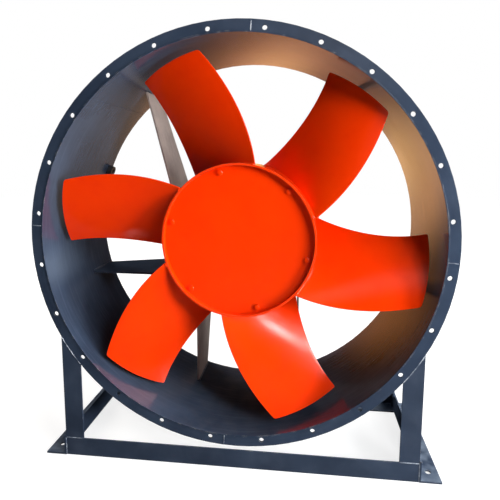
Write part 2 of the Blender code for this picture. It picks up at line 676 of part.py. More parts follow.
def shield_profile(nose, away):
    """An end shield's half section. away is 1 when the nose points to the inlet, and -1 at the tail."""
    hub_end = nose + away * SHIELD_NOSE_LENGTH
    rim_front = nose + away * SHIELD_DISH
    rim_rear = rim_front + away * SHIELD_RIM_THICKNESS
    pocket = nose + away * (BEARING_LIP - CLEARANCE)
    pocket_end = nose + away * (BEARING_LIP + BEARING_WIDTH + CLEARANCE)
    boss_end = nose + away * max(SHIELD_NOSE_LENGTH + SHIELD_WALL, BEARING_LIP + BEARING_WIDTH + CLEARANCE)
    spigot = HOUSING_BORE_RADIUS - CLEARANCE
    spigot_end = rim_rear + away * SPIGOT_LENGTH
    points = [(spigot, spigot_end), (spigot, rim_rear), (HOUSING_RADIUS, rim_rear),
              (HOUSING_RADIUS, rim_front), (SHIELD_HUB_RADIUS, hub_end), (SHIELD_HUB_RADIUS, nose),
              (SHAFT_HOLE_RADIUS, nose), (SHAFT_HOLE_RADIUS, pocket), (BEARING_RADIUS + CLEARANCE, pocket),
              (BEARING_RADIUS + CLEARANCE, pocket_end), (SHIELD_HUB_RADIUS, boss_end),
              (spigot - SPIGOT_WALL, rim_rear), (spigot - SPIGOT_WALL, spigot_end)]
    return points if away > 0.0 else points[::-1]


def bearing(name, start):
    """A sealed ball bearing drawn as one ring."""
    ring(name, BEARING_SEAT_RADIUS + CLEARANCE, BEARING_RADIUS, start, start + BEARING_WIDTH, MOTOR_STEPS,
         STEEL, rotation=ALONG_AXIS)


def make_shields():
    turned("drive_end_shield", shield_profile(SHIELD_NOSE_DEPTH, 1.0), MOTOR_STEPS, MOTOR_PAINT,
           rotation=ALONG_AXIS)
    turned("rear_end_shield", shield_profile(REAR_NOSE_DEPTH, -1.0), MOTOR_STEPS, MOTOR_PAINT,
           rotation=ALONG_AXIS)
    bearing("drive_end_bearing", DRIVE_BEARING_DEPTH)
    bearing("rear_end_bearing", REAR_BEARING_DEPTH)


def make_stator():
    sleeve_inner = ROTOR_RADIUS + AIR_GAP
    sleeve_outer = sleeve_inner + SLEEVE_WALL
    ring("stator_core", sleeve_outer + CLEARANCE, HOUSING_BORE_RADIUS - CLEARANCE, CORE_FRONT_DEPTH,
         CORE_REAR_DEPTH, MOTOR_STEPS, LAMINATION, rotation=ALONG_AXIS)
    front = CORE_FRONT_DEPTH - CLEARANCE
    rear = CORE_REAR_DEPTH + CLEARANCE
    winding = [(WINDING_RADIUS, rear + WINDING_OVERHANG), (WINDING_RADIUS, rear), (sleeve_outer, rear),
               (sleeve_outer, front), (WINDING_RADIUS, front), (WINDING_RADIUS, front - WINDING_OVERHANG),
               (sleeve_inner, front - WINDING_OVERHANG), (sleeve_inner, rear + WINDING_OVERHANG)]
    turned("stator_winding", winding, MOTOR_STEPS, COPPER, rotation=ALONG_AXIS)


def spokes(name, count, low, high, parent):
    """Boxes between two corners, repeated round the axis. Their own Z lies along it."""
    return [box(name + "_%02d" % k, low, high, None, parent=parent,
                rotation=Euler((-math.pi / 2, 2 * math.pi * k / count, 0.0))) for k in range(count)]


def make_tail():
    """The cooling fan behind the rear shield, and the cowl over both."""
    inner = HOUSING_RADIUS + CLEARANCE
    outer = inner + COWL_WALL
    lip = HOUSING_REAR_DEPTH + COWL_LIP_GAP
    profile = [(0.0, OVERALL_DEPTH), (outer, OVERALL_DEPTH), (outer, lip), (inner, lip),
               (inner, GRILLE_DEPTH), (0.0, GRILLE_DEPTH)]
    cowl = turned("fan_cowl", profile, MOTOR_STEPS, MOTOR_PAINT, rotation=ALONG_AXIS)
    slots = spokes("cowl_slot", COWL_SLOT_COUNT,
                   (COWL_SLOT_INNER_RADIUS, -COWL_SLOT_WIDTH / 2, GRILLE_DEPTH - CUT_OVERRUN),
                   (HOUSING_RADIUS - COWL_SLOT_RIM, COWL_SLOT_WIDTH / 2, OVERALL_DEPTH + CUT_OVERRUN),
                   FAN_AXIS)
    for slot in slots:
        boolean(cowl, slot, "DIFFERENCE")
    smooth(to_mesh_object(cowl, MOTOR_PAINT, slots))

    fan_radius = HOUSING_RADIUS - COOLING_FAN_TIP_GAP
    web_end = COOLING_FAN_DEPTH + COOLING_FAN_WEB
    bore = TAIL_SHAFT_RADIUS + CLEARANCE
    profile = [(COOLING_FAN_HUB_RADIUS, TAIL_SHAFT_DEPTH), (COOLING_FAN_HUB_RADIUS, web_end),
               (fan_radius, web_end), (fan_radius, COOLING_FAN_DEPTH), (bore, COOLING_FAN_DEPTH),
               (bore, TAIL_SHAFT_DEPTH)]
    wheel = turned("cooling_fan", profile, MOTOR_STEPS, BLACK_PLASTIC, parent=IMPELLER_AXIS,
                   rotation=ALONG_AXIS)
    paddles = spokes("paddle", PADDLE_COUNT,
                     (COOLING_FAN_HUB_RADIUS - PADDLE_THICKNESS, -PADDLE_THICKNESS / 2,
                      web_end - COOLING_FAN_WEB / 2),
                     (fan_radius - PADDLE_THICKNESS, PADDLE_THICKNESS / 2,
                      TAIL_SHAFT_DEPTH - COOLING_FAN_WEB / 2), IMPELLER_AXIS)
    for paddle in paddles:
        boolean(wheel, paddle, "UNION")
    smooth(to_mesh_object(wheel, BLACK_PLASTIC, paddles))


def make_terminal_box():
    front = HOUSING_FRONT_DEPTH + PAD_SETBACK + (PAD_LENGTH - BOX_LENGTH) / 2
    rear = front + BOX_LENGTH
    base = pad_top() + CLEARANCE
    rim = base + BOX_HEIGHT
    shell = box("terminal_box", (-BOX_HALF_WIDTH, front, base), (BOX_HALF_WIDTH, rear, rim), MOTOR_PAINT)
    hollow = box("terminal_hollow", (BOX_WALL - BOX_HALF_WIDTH, front + BOX_WALL, base + BOX_WALL),
                 (BOX_HALF_WIDTH - BOX_WALL, rear - BOX_WALL, rim + CUT_OVERRUN), None)
    boolean(shell, as_cutter(hollow), "DIFFERENCE")
    spot = (0.0, (front + rear) / 2, (base + BOX_WALL + rim) / 2)
    sideways = Euler((0.0, -math.pi / 2, 0.0))
    drill = prisms("terminal_drill", [(0.0, 0.0)], BOX_GLAND_SHANK_RADIUS + CLEARANCE,
                   BOX_HALF_WIDTH - BOX_WALL - CUT_OVERRUN, BOX_HALF_WIDTH + CUT_OVERRUN, SMALL_STEPS,
                   location=spot, rotation=sideways)
    boolean(shell, as_cutter(drill), "DIFFERENCE")
    lid = box("terminal_lid", (-BOX_HALF_WIDTH, front, rim + CLEARANCE),
              (BOX_HALF_WIDTH, rear, rim + CLEARANCE + LID_HEIGHT), MOTOR_PAINT)
    bevel = lid.modifiers.new("soft_edges", "BEVEL")
    bevel.width = LID_BEVEL
    bevel.segments = 1
    outer_face = BOX_HALF_WIDTH + CLEARANCE
    inner_end = BOX_HALF_WIDTH - BOX_WALL - BOX_GLAND_NUT
    gland = [(BOX_GLAND_RADIUS, outer_face + BOX_GLAND_LENGTH), (BOX_GLAND_RADIUS, outer_face),
             (BOX_GLAND_SHANK_RADIUS, outer_face), (BOX_GLAND_SHANK_RADIUS, inner_end),
             (BOX_GLAND_BORE_RADIUS, inner_end), (BOX_GLAND_BORE_RADIUS, outer_face + BOX_GLAND_LENGTH)]
    turned("terminal_gland", gland, SMALL_STEPS, BLACK_PLASTIC, location=spot, rotation=sideways)


def make_motor_seat():
    """The packing bars, and the bolts and nuts that hold the motor's feet to the table."""
    drills = foot_drills()
    packing_bottom = PACKING_TOP - PACKING_THICKNESS
    for side_name, side in (("left", -1.0), ("right", 1.0)):
        ends = sorted((side * MOTOR_FOOT_INNER_X, side * MOTOR_FOOT_OUTER_X))
        bar = box("packing_bar_" + side_name, (ends[0], MOTOR_FOOT_FRONT_DEPTH, packing_bottom),
                  (ends[1], MOTOR_FOOT_REAR_DEPTH, PACKING_TOP), ZINC)
        boolean(bar, drills, "DIFFERENCE")
    seat = MOTOR_FOOT_THICKNESS - SHAFT_HEIGHT + CLEARANCE
    nut_face = TABLE_BOTTOM - CLEARANCE
    length = seat - nut_face + FOOT_NUT_HEIGHT + FOOT_BOLT_TAIL
    for number, (x, depth) in enumerate(foot_bolt_places(), start=1):
        downwards = Euler((math.pi, 0.0, 0.0))
        bolt("foot_bolt_%d" % number, FOOT_BOLT_FLATS, FOOT_BOLT_HEAD, FOOT_BOLT_SHANK, length, ZINC,
             location=(x, depth, seat), rotation=downwards)
        nut("foot_nut_%d" % number, FOOT_BOLT_FLATS, FOOT_NUT_HEIGHT, FOOT_BOLT_SHANK + CLEARANCE, ZINC,
            location=(x, depth, nut_face), rotation=downwards)


# Rotor and hub

def make_shaft():
    drive_seat_end = DRIVE_BEARING_DEPTH + BEARING_WIDTH + CLEARANCE
    rear_seat_start = REAR_BEARING_DEPTH - CLEARANCE
    tapped = END_BOLT_SHANK + CLEARANCE
    tapped_end = END_WASHER_DEPTH + END_BOLT_GRIP + CLEARANCE
    profile = [(0.0, TAIL_SHAFT_DEPTH), (TAIL_SHAFT_RADIUS, TAIL_SHAFT_DEPTH),
               (TAIL_SHAFT_RADIUS, REAR_NOSE_DEPTH), (BEARING_SEAT_RADIUS, REAR_NOSE_DEPTH),
               (BEARING_SEAT_RADIUS, rear_seat_start), (ROTOR_SHAFT_RADIUS, rear_seat_start),
               (ROTOR_SHAFT_RADIUS, drive_seat_end), (BEARING_SEAT_RADIUS, drive_seat_end),
               (BEARING_SEAT_RADIUS, SHOULDER_DEPTH), (SHAFT_RADIUS, SHOULDER_DEPTH),
               (SHAFT_RADIUS, SHAFT_NOSE_DEPTH), (tapped, SHAFT_NOSE_DEPTH), (tapped, tapped_end),
               (0.0, tapped_end)]
    shaft = turned("motor_shaft", profile, MOTOR_STEPS, STEEL, parent=IMPELLER_AXIS, rotation=ALONG_AXIS)
    key_start = SHAFT_NOSE_DEPTH + KEY_NOSE_MARGIN
    key_end = SHOULDER_DEPTH - KEY_TAIL_MARGIN
    key_bottom = SHAFT_RADIUS - KEYWAY_DEPTH + CLEARANCE
    key_top = key_bottom + KEY_HEIGHT
    box("shaft_key", (-KEY_WIDTH / 2, key_start, key_bottom), (KEY_WIDTH / 2, key_end, key_top), STEEL,
        parent=IMPELLER_AXIS)
    way_half = KEY_WIDTH / 2 + CLEARANCE
    shaft_way = box("shaft_keyway", (-way_half, key_start - CLEARANCE, key_bottom - CLEARANCE),
                    (way_half, key_end + CLEARANCE, key_top + CLEARANCE), None, parent=IMPELLER_AXIS)
    boolean(shaft, as_cutter(shaft_way), "DIFFERENCE")

    boss = ring("hub_boss", SHAFT_RADIUS + CLEARANCE, BOSS_RADIUS, BOSS_DEPTH, BOSS_DEPTH + BOSS_LENGTH,
                MOTOR_STEPS, STEEL, parent=IMPELLER_AXIS, rotation=ALONG_AXIS)
    boss_way = box("boss_keyway", (-way_half, BOSS_DEPTH - CUT_OVERRUN, 0.0),
                   (way_half, BOSS_DEPTH + BOSS_LENGTH + CUT_OVERRUN, key_top + CLEARANCE), None,
                   parent=IMPELLER_AXIS)
    boolean(boss, as_cutter(boss_way), "DIFFERENCE")
    ring("rotor_core", ROTOR_SHAFT_RADIUS + CLEARANCE, ROTOR_RADIUS, CORE_FRONT_DEPTH, CORE_REAR_DEPTH,
         MOTOR_STEPS, LAMINATION, parent=IMPELLER_AXIS, rotation=ALONG_AXIS)
    ring("end_washer", END_BOLT_SHANK + CLEARANCE, END_WASHER_RADIUS, END_WASHER_DEPTH,
         END_WASHER_DEPTH + END_WASHER_THICKNESS, SMALL_STEPS, ZINC, parent=IMPELLER_AXIS,
         rotation=ALONG_AXIS)
    bolt("end_bolt", END_BOLT_FLATS, END_BOLT_HEAD, END_BOLT_SHANK, END_BOLT_GRIP, ZINC,
         parent=IMPELLER_AXIS, location=(0.0, END_BOLT_DEPTH, 0.0), rotation=ALONG_AXIS)


def make_hub():
    hub_places = hole_places(COVER_BOLT_PITCH_RADIUS, COVER_BOLT_COUNT, COVER_BOLT_START_DEG)
    drills = prisms("cover_drills", hub_places, COVER_BOLT_SHANK + COVER_BOLT_GAP,
                    COVER_DEPTH - CUT_OVERRUN, LEDGE_DEPTH + LEDGE_THICKNESS + CUT_OVERRUN, BOLT_STEPS,
                    parent=IMPELLER_AXIS, rotation=ALONG_AXIS)
    as_cutter(drills)
    ledge_inner = HUB_BORE_RADIUS - LEDGE_WIDTH
    ledge_end = LEDGE_DEPTH + LEDGE_THICKNESS
    drum_profile = [(HUB_RADIUS, HUB_REAR_DEPTH), (HUB_RADIUS, HUB_FRONT_DEPTH),
                    (HUB_BORE_RADIUS, HUB_FRONT_DEPTH), (HUB_BORE_RADIUS, LEDGE_DEPTH),
                    (ledge_inner, LEDGE_DEPTH), (ledge_inner, ledge_end), (HUB_BORE_RADIUS, ledge_end),
                    (HUB_BORE_RADIUS, HUB_REAR_DEPTH)]
    drum = turned("hub_drum", drum_profile, HUB_STEPS, ORANGE_PAINT, parent=IMPELLER_AXIS,
                  rotation=ALONG_AXIS)
    boolean(drum, drills, "DIFFERENCE")
    disc_radius = HUB_BORE_RADIUS - CLEARANCE
    cover_profile = [(0.0, COVER_DEPTH + COVER_THICKNESS), (disc_radius, COVER_DEPTH + COVER_THICKNESS),
                     (disc_radius, COVER_DEPTH), (0.0, COVER_DEPTH)]
    cover = turned("hub_cover", cover_profile, HUB_STEPS, ORANGE_PAINT, parent=IMPELLER_AXIS,
                   rotation=ALONG_AXIS)
    boolean(cover, drills, "DIFFERENCE")
    plate_front = HUB_FRONT_DEPTH + HUB_PLATE_SETBACK
    ring("hub_plate", BOSS_RADIUS + CLEARANCE, disc_radius, plate_front,
         plate_front + HUB_PLATE_THICKNESS, HUB_STEPS // 2, ORANGE_PAINT, parent=IMPELLER_AXIS,
         rotation=ALONG_AXIS)
    length = COVER_THICKNESS + LEDGE_THICKNESS + COVER_BOLT_TAIL
    for number, (x, y) in enumerate(hub_places, start=1):
        bolt("cover_bolt_%d" % number, COVER_BOLT_FLATS, COVER_BOLT_HEAD, COVER_BOLT_SHANK, length,
             ORANGE_PAINT, parent=IMPELLER_AXIS, location=(x, COVER_DEPTH - CLEARANCE, -y),
             rotation=ALONG_AXIS)


# Blades

def edge_value(share, bend_share, root, bend, tip):
    """A value along the span on a curve with one bend, read at a share of the span."""
    curve = 1.0 - 2.0 * bend_share
    step = (math.sqrt(max(bend_share ** 2 + curve * share, 0.0)) - bend_share) / curve
    return (1.0 - step) ** 2 * root + 2.0 * step * (1.0 - step) * bend + step ** 2 * tip


def blade_point(span_share, chord_share):
    """A point of the blade's middle surface, as (x, depth, z)."""
    radius = HUB_RADIUS + span_share * (BLADE_TIP_RADIUS - HUB_RADIUS)
    lead = math.radians(edge_value(span_share, LEAD_BEND_SHARE, LEAD_ROOT_DEG, LEAD_BEND_DEG, LEAD_TIP_DEG))
    trail = math.radians(
        edge_value(span_share, TRAIL_BEND_SHARE, TRAIL_ROOT_DEG, TRAIL_BEND_DEG, TRAIL_TIP_DEG))
    arc = radius * (trail - lead)
    rise = HUB_LENGTH * edge_value(span_share, TWIST_BEND_SHARE, TRAIL_ROOT_RISE_SHARE,
                                   TRAIL_BEND_RISE_SHARE, TRAIL_TIP_RISE_SHARE)
    bow = BLADE_BOW_ROOT + span_share * (BLADE_BOW_TIP - BLADE_BOW_ROOT)
    bulge = 4.0 * bow * chord_share * (1.0 - chord_share) / math.hypot(arc, rise)
    angle = lead + (arc * chord_share + bulge * rise) / radius
    depth = HUB_FRONT_DEPTH + LEAD_SETBACK + rise * chord_share - bulge * arc
    return radius * math.cos(angle), depth, radius * math.sin(angle)


def make_blades():
    trim_radius = HUB_RADIUS + CLEARANCE
    trim = prisms("blade_root_trim", [(0.0, 0.0)], trim_radius, 0.0, HUB_REAR_DEPTH + HUB_FRONT_DEPTH,
                  HUB_STEPS, parent=IMPELLER_AXIS, rotation=Euler((-math.pi / 2, math.pi / 2, 0.0)))
    as_cutter(trim)
    root_share = -BLADE_ROOT_OVERLAP / (BLADE_TIP_RADIUS - HUB_RADIUS)
    mesh = bpy.data.meshes.new("blade")
    shape = bmesh.new()
    bmesh.ops.create_grid(shape, x_segments=BLADE_CHORD_STEPS, y_segments=BLADE_SPAN_STEPS, size=1.0)
    for vertex in shape.verts:
        chord_share = (vertex.co.x + 1.0) / 2
        span_share = root_share + (1.0 - root_share) * (vertex.co.y + 1.0) / 2
        vertex.co = blade_point(span_share, chord_share)
    shape.to_mesh(mesh)
    shape.free()
    for number in range(1, BLADE_COUNT + 1):
        turn = -2 * math.pi * (number - 1) / BLADE_COUNT
        blade = place(mesh, "blade_%d" % number, ORANGE_PAINT, parent=IMPELLER_AXIS,
                      rotation=Euler((0.0, turn, 0.0)))
        sheet = blade.modifiers.new("sheet", "SOLIDIFY")
        sheet.thickness = BLADE_THICKNESS
        sheet.offset = 0.0
        sheet.use_even_offset = True
        boolean(blade, trim, "DIFFERENCE")
        smooth(to_mesh_object(blade, ORANGE_PAINT))


make_casing()
make_base()
make_carrier()
make_housing()
make_shields()
make_stator()
make_tail()
make_terminal_box()
make_motor_seat()
make_shaft()
make_hub()
make_blades()
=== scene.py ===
# Looks of the axial fan: painted finishes, rolled sheet blades, weld beads, screws and a plain studio

import json
import math

import bmesh
import bpy
from mathutils import Matrix, Vector, noise


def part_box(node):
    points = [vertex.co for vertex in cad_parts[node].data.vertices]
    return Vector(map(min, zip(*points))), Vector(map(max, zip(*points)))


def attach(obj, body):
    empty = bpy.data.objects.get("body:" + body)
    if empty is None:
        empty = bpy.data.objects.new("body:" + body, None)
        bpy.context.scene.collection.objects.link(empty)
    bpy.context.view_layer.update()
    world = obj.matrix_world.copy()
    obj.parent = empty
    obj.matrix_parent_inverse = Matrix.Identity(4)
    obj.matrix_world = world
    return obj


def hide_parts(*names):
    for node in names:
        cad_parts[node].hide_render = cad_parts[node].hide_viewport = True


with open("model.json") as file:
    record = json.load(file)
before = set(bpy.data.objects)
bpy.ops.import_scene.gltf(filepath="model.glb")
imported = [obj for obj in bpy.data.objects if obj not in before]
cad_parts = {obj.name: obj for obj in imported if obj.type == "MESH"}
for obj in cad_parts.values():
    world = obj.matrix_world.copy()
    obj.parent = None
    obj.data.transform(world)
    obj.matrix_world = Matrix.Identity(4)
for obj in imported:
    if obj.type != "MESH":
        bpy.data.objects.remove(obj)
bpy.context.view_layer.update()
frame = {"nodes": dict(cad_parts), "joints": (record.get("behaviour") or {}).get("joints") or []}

# Places and sizes read from the model, in metres: the fan's axis runs along +Y at x = 0
NODES = frame["nodes"]
AXIS_Z = frame["joints"][0]["pos_m"][2]
INLET_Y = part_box("front_flange")[0].y
OUTLET_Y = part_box("rear_flange")[1].y
CASING_DEPTH = OUTLET_Y - INLET_Y
FLANGE_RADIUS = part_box("front_flange")[1].x
FLANGE_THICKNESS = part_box("front_flange")[1].y - INLET_Y
SHELL_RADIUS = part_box("casing_shell")[1].x
HUB_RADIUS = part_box("hub_drum")[1].x
HUB_FRONT_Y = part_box("hub_drum")[0].y
HUB_REAR_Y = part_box("hub_drum")[1].y
COVER_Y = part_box("hub_cover")[0].y

# What the boxes of the model's nodes don't tell
SHELL_SHEET = 0.003
BORE_RADIUS = SHELL_RADIUS - SHELL_SHEET
BLADE_COUNT = 6
COVER_BOLTS = 6
FOOT_BOLTS = 4
SIDES = (("left", -1.0), ("right", 1.0))
UP = Vector((0.0, 0.0, 1.0))
FORWARD = Vector((0.0, -1.0, 0.0))

# Finishes' colours, in linear light
SLATE = (0.036, 0.053, 0.088)
SLATE_DARK = (0.024, 0.035, 0.060)
SLATE_PALE = (0.064, 0.084, 0.128)
# Stays' and legs' pale taupe: partly pale dust, partly a painted reflection on the slate plates
STAY_DUST_AND_REFLECTION_PALE = (0.50, 0.41, 0.37)
STAY_DUST_AND_REFLECTION_DARK = (0.28, 0.23, 0.21)
DUST = (0.17, 0.15, 0.12)
SCUFFED = (0.17, 0.21, 0.27)
ORANGE = (0.98, 0.038, 0.0)
ORANGE_DEEP = (0.90, 0.026, 0.0)
ORANGE_PALE = (1.0, 0.055, 0.001)
# Paler orange along edges: partly rubbed paint, partly a painted highlight
ORANGE_WORN_AND_HIGHLIT = (0.85, 0.17, 0.08)
PRIMER = (0.45, 0.42, 0.38)
WELD_PALE = (0.46, 0.50, 0.56)
MOTOR_BLUE = (0.045, 0.08, 0.13)
MOTOR_DARK = (0.028, 0.05, 0.085)
NYLON_BLACK = (0.012, 0.012, 0.013)
NYLON_GREY = (0.026, 0.026, 0.028)

# Limits for smooth shading, joined corners, rounded edges and worn edges
SMOOTH_DEG = 35.0
WELD_GAP = 0.00001
FACET_DEG = 0.4
CORNER_DEG = 40.0
EDGE_DOTS = (0.995, 0.90)


# Node trees

class Look:
    """A material under construction: its node tree, its shader and short ways to add nodes."""

    def __init__(self, name, metallic=0.0, specular=0.5):
        self.material = bpy.data.materials.new(name)
        self.material.use_nodes = True
        self.nodes = self.material.node_tree.nodes
        self.links = self.material.node_tree.links
        self.shader = self.nodes["Principled BSDF"]
        self.shader.inputs["Metallic"].default_value = metallic
        self.shader.inputs["Specular IOR Level"].default_value = specular
        self.place = self.add("ShaderNodeTexCoord").outputs["Object"]

    def add(self, kind, settings=(), **inputs):
        """A node with its settings, and a value or a link for each input named."""
        node = self.nodes.new(kind)
        for key, value in dict(settings).items():
            setattr(node, key, value)
        for key, value in inputs.items():
            self.put(node.inputs[key.replace("_", " ")], value)
        return node

    def put(self, socket, value):
        """Link a socket to another one, or set its value."""
        if isinstance(value, bpy.types.NodeSocket):
            self.links.new(value, socket)
        elif isinstance(value, tuple) and len(value) == 3 and len(socket.default_value) == 4:
            socket.default_value = (*value, 1.0)
        else:
            socket.default_value = value

    def math(self, operation, first, second=0.0):
        """One operation on a value, and on a second where it takes one."""
        node = self.nodes.new("ShaderNodeMath")
        node.operation = operation
        self.put(node.inputs[0], first)
        self.put(node.inputs[1], second)
        return node.outputs[0]

    def stretched(self, place, scale):
        """A place multiplied by its own scale on each axis."""
        node = self.nodes.new("ShaderNodeVectorMath")
        node.operation = "MULTIPLY"
        self.put(node.inputs[0], place)
        self.put(node.inputs[1], scale)
        return node.outputs[0]

    def noise(self, scale, detail=3.0, roughness=0.55, place=None):
        """Cloudy noise over the object's own coordinates, or over a place where given."""
        node = self.add("ShaderNodeTexNoise", Vector=place or self.place, Scale=scale, Detail=detail,
                        Roughness=roughness)
        return node.outputs["Fac"]

    def ramp(self, value, low, high, start=0.0, end=1.0):
        """What goes from start to end while a value goes from low to high."""
        node = self.add("ShaderNodeMapRange", Value=value, From_Min=low, From_Max=high, To_Min=start,
                        To_Max=end)
        return node.outputs["Result"]

    def mix(self, factor, first, second):
        """The first colour, turned to the second by a factor."""
        node = self.nodes.new("ShaderNodeMix")
        node.data_type = "RGBA"
        self.put(node.inputs["Factor"], factor)
        self.put(node.inputs[6], first)
        self.put(node.inputs[7], second)
        return node.outputs[2]

    def bump(self, height, depth, below=None):
        """A normal bumped by a height, on top of another bump where given."""
        node = self.add("ShaderNodeBump", Height=height, Distance=depth, Strength=1.0)
        if below is not None:
            self.links.new(below, node.inputs["Normal"])
        return node.outputs["Normal"]

    def around(self):
        """Coordinates that unroll the casing: arc, radius and depth."""
        split = self.add("ShaderNodeSeparateXYZ", Vector=self.place)
        height = self.math("SUBTRACT", split.outputs["Z"], AXIS_Z)
        angle = self.math("ARCTAN2", height, split.outputs["X"])
        squares = self.math("ADD", self.math("POWER", split.outputs["X"], 2.0),
                            self.math("POWER", height, 2.0))
        radius = self.math("SQRT", squares)
        joined = self.add("ShaderNodeCombineXYZ", X=angle, Y=radius, Z=split.outputs["Y"])
        return joined.outputs["Vector"]

    def upward(self):
        """How far the surface faces up."""
        normal = self.add("ShaderNodeNewGeometry").outputs["Normal"]
        return self.add("ShaderNodeSeparateXYZ", Vector=normal).outputs["Z"]

    def edge_mask(self, radius):
        """1 on convex and concave edges, from a rounded normal against the plain one."""
        soft = self.add("ShaderNodeBevel", {"samples": 4}, Radius=radius)
        plain = self.add("ShaderNodeNewGeometry")
        node = self.nodes.new("ShaderNodeVectorMath")
        node.operation = "DOT_PRODUCT"
        self.links.new(soft.outputs["Normal"], node.inputs[0])
        self.links.new(plain.outputs["Normal"], node.inputs[1])
        return self.ramp(node.outputs["Value"], *EDGE_DOTS)

    def finish(self, colour, roughness, normal):
        """The material, once its shader has what varies over the surface."""
        self.put(self.shader.inputs["Base Color"], colour)
        self.put(self.shader.inputs["Roughness"], roughness)
        self.put(self.shader.inputs["Normal"], normal)
        return self.material


# Finishes

def slate_paint(name, rolled, settled):
    """Sprayed slate enamel on sheet or angle steel: soft orange peel, cloudy tone, dust and worn edges."""
    look = Look(name)
    place = look.around() if rolled else look.place
    stretch = (0.9, 3.0, 34.0) if rolled else (5.0, 5.0, 5.0)
    gloss = (0.13, 0.23) if rolled else (0.30, 0.42)
    streaks = look.noise(4.0, detail=4.0, place=look.stretched(place, stretch))
    clouds = look.noise(7.0, detail=4.0)
    specks = look.noise(260.0, detail=2.0)
    tone = look.mix(look.ramp(clouds, 0.35, 0.68), SLATE_DARK, SLATE)
    tone = look.mix(look.ramp(streaks, 0.48, 0.78, 0.0, 0.4), tone, SLATE_PALE)
    grime = look.ramp(look.noise(30.0, detail=5.0), 0.34, 0.66, 0.0, settled)
    dusty = look.math("MULTIPLY", look.ramp(look.upward(), 0.8, 1.0), grime)
    tone = look.mix(dusty, tone, DUST if rolled else SCUFFED)
    edge = look.edge_mask(0.0016)
    chips = look.math("MULTIPLY", edge, look.ramp(look.noise(55.0, detail=5.0), 0.5, 0.66, 0.0, 0.5))
    tone = look.mix(chips, tone, PRIMER)
    shine = look.ramp(streaks, 0.3, 0.75, *gloss)
    shine = look.math("ADD", shine, look.math("MULTIPLY", dusty, 0.5))
    peel = look.bump(look.noise(420.0, detail=1.0), 0.00003)
    wave = look.bump(look.noise(5.0, detail=0.0), 0.0002, below=peel)
    rough = look.math("ADD", shine, look.ramp(specks, 0.55, 0.8, 0.0, 0.05))
    return look.finish(tone, rough, wave)


def dust_and_painted_reflection_paint():
    """Stays and legs behind the impeller: thin paint under baked pale dust, their pale taupe tone partly a
    painted reflection, streaked along the plates.
    """
    look = Look("dust_and_painted_reflection_plate", specular=0.4)
    clouds = look.noise(9.0, detail=5.0)
    streaks = look.noise(6.0, detail=4.0, place=look.stretched(look.place, (12.0, 12.0, 1.5)))
    tone = look.mix(look.ramp(clouds, 0.3, 0.7), STAY_DUST_AND_REFLECTION_DARK, STAY_DUST_AND_REFLECTION_PALE)
    tone = look.mix(look.ramp(streaks, 0.5, 0.75, 0.0, 0.45), tone, STAY_DUST_AND_REFLECTION_PALE)
    grit = look.noise(300.0, detail=3.0)
    return look.finish(tone, look.ramp(grit, 0.3, 0.7, 0.5, 0.7), look.bump(grit, 0.00008))


def orange_paint(name, edge_wear_and_highlight):
    """Semi-gloss red-orange enamel on the impeller, paler along its edges: partly rubbed paint, partly a
    painted highlight.
    """
    look = Look(name)
    clouds = look.noise(9.0, detail=4.0)
    flow = look.noise(28.0, detail=3.0)
    tone = look.mix(look.ramp(clouds, 0.35, 0.7, 0.0, 0.35), ORANGE, ORANGE_PALE)
    tone = look.mix(look.ramp(flow, 0.5, 0.75, 0.0, 0.25), tone, ORANGE_DEEP)
    edge = look.edge_mask(0.0014)
    # Paler edges: partly rubbed paint, partly a painted highlight on the edges
    rubbed_and_highlit = look.ramp(look.noise(24.0, detail=3.0), 0.3, 0.6, 0.4 * edge_wear_and_highlight, edge_wear_and_highlight)
    tone = look.mix(look.math("MULTIPLY", edge, rubbed_and_highlit), tone, ORANGE_WORN_AND_HIGHLIT)
    chips = look.math("MULTIPLY", edge, look.ramp(look.noise(70.0, detail=5.0), 0.6, 0.7, 0.0, 0.35))
    tone = look.mix(chips, tone, PRIMER)
    shine = look.ramp(flow, 0.3, 0.75, 0.14, 0.19)
    peel = look.bump(look.noise(380.0, detail=1.0), 0.00003)
    return look.finish(tone, shine, peel)


def weld_paint():
    """Thin slate enamel over weld beads, worn through to pale metal on the crests."""
    look = Look("slate_enamel_weld")
    crests = look.noise(240.0, detail=3.0)
    patches = look.noise(45.0, detail=3.0)
    tone = look.mix(look.ramp(patches, 0.38, 0.6), SLATE_PALE, WELD_PALE)
    tone = look.mix(look.ramp(crests, 0.5, 0.7, 0.0, 0.6), tone, SLATE)
    return look.finish(tone, look.ramp(crests, 0.3, 0.7, 0.3, 0.5), look.bump(crests, 0.0001))


def motor_paint(name, cast):
    """Blue-grey motor enamel: on sand-cast iron where cast, else on pressed sheet."""
    look = Look(name)
    grit, depth = (330.0, 0.0004) if cast else (480.0, 0.0001)
    gloss = (0.42, 0.58) if cast else (0.32, 0.45)
    clouds = look.noise(14.0, detail=4.0)
    tone = look.mix(look.ramp(clouds, 0.35, 0.7), MOTOR_DARK, MOTOR_BLUE)
    grime = look.ramp(look.noise(36.0, detail=5.0), 0.4, 0.7, 0.0, 0.5)
    dusty = look.math("MULTIPLY", look.ramp(look.upward(), 0.4, 1.0), grime)
    tone = look.mix(dusty, tone, DUST)
    edge = look.edge_mask(0.0012)
    tone = look.mix(look.math("MULTIPLY", edge, 0.25), tone, PRIMER)
    sand = look.bump(look.noise(grit, detail=3.0, roughness=0.7), depth)
    return look.finish(tone, look.ramp(clouds, 0.3, 0.75, *gloss), sand)


def plain_metal(name, light, dark, roughness, scale):
    """Bare or plated metal with a cloudy tone and fine scratches."""
    look = Look(name, metallic=1.0)
    clouds = look.noise(scale, detail=5.0)
    tone = look.mix(look.ramp(clouds, 0.3, 0.7), dark, light)
    fine = look.noise(scale * 14.0, detail=2.0)
    shine = look.ramp(fine, 0.3, 0.7, roughness * 0.75, roughness * 1.3)
    return look.finish(tone, shine, look.bump(fine, 0.0001))


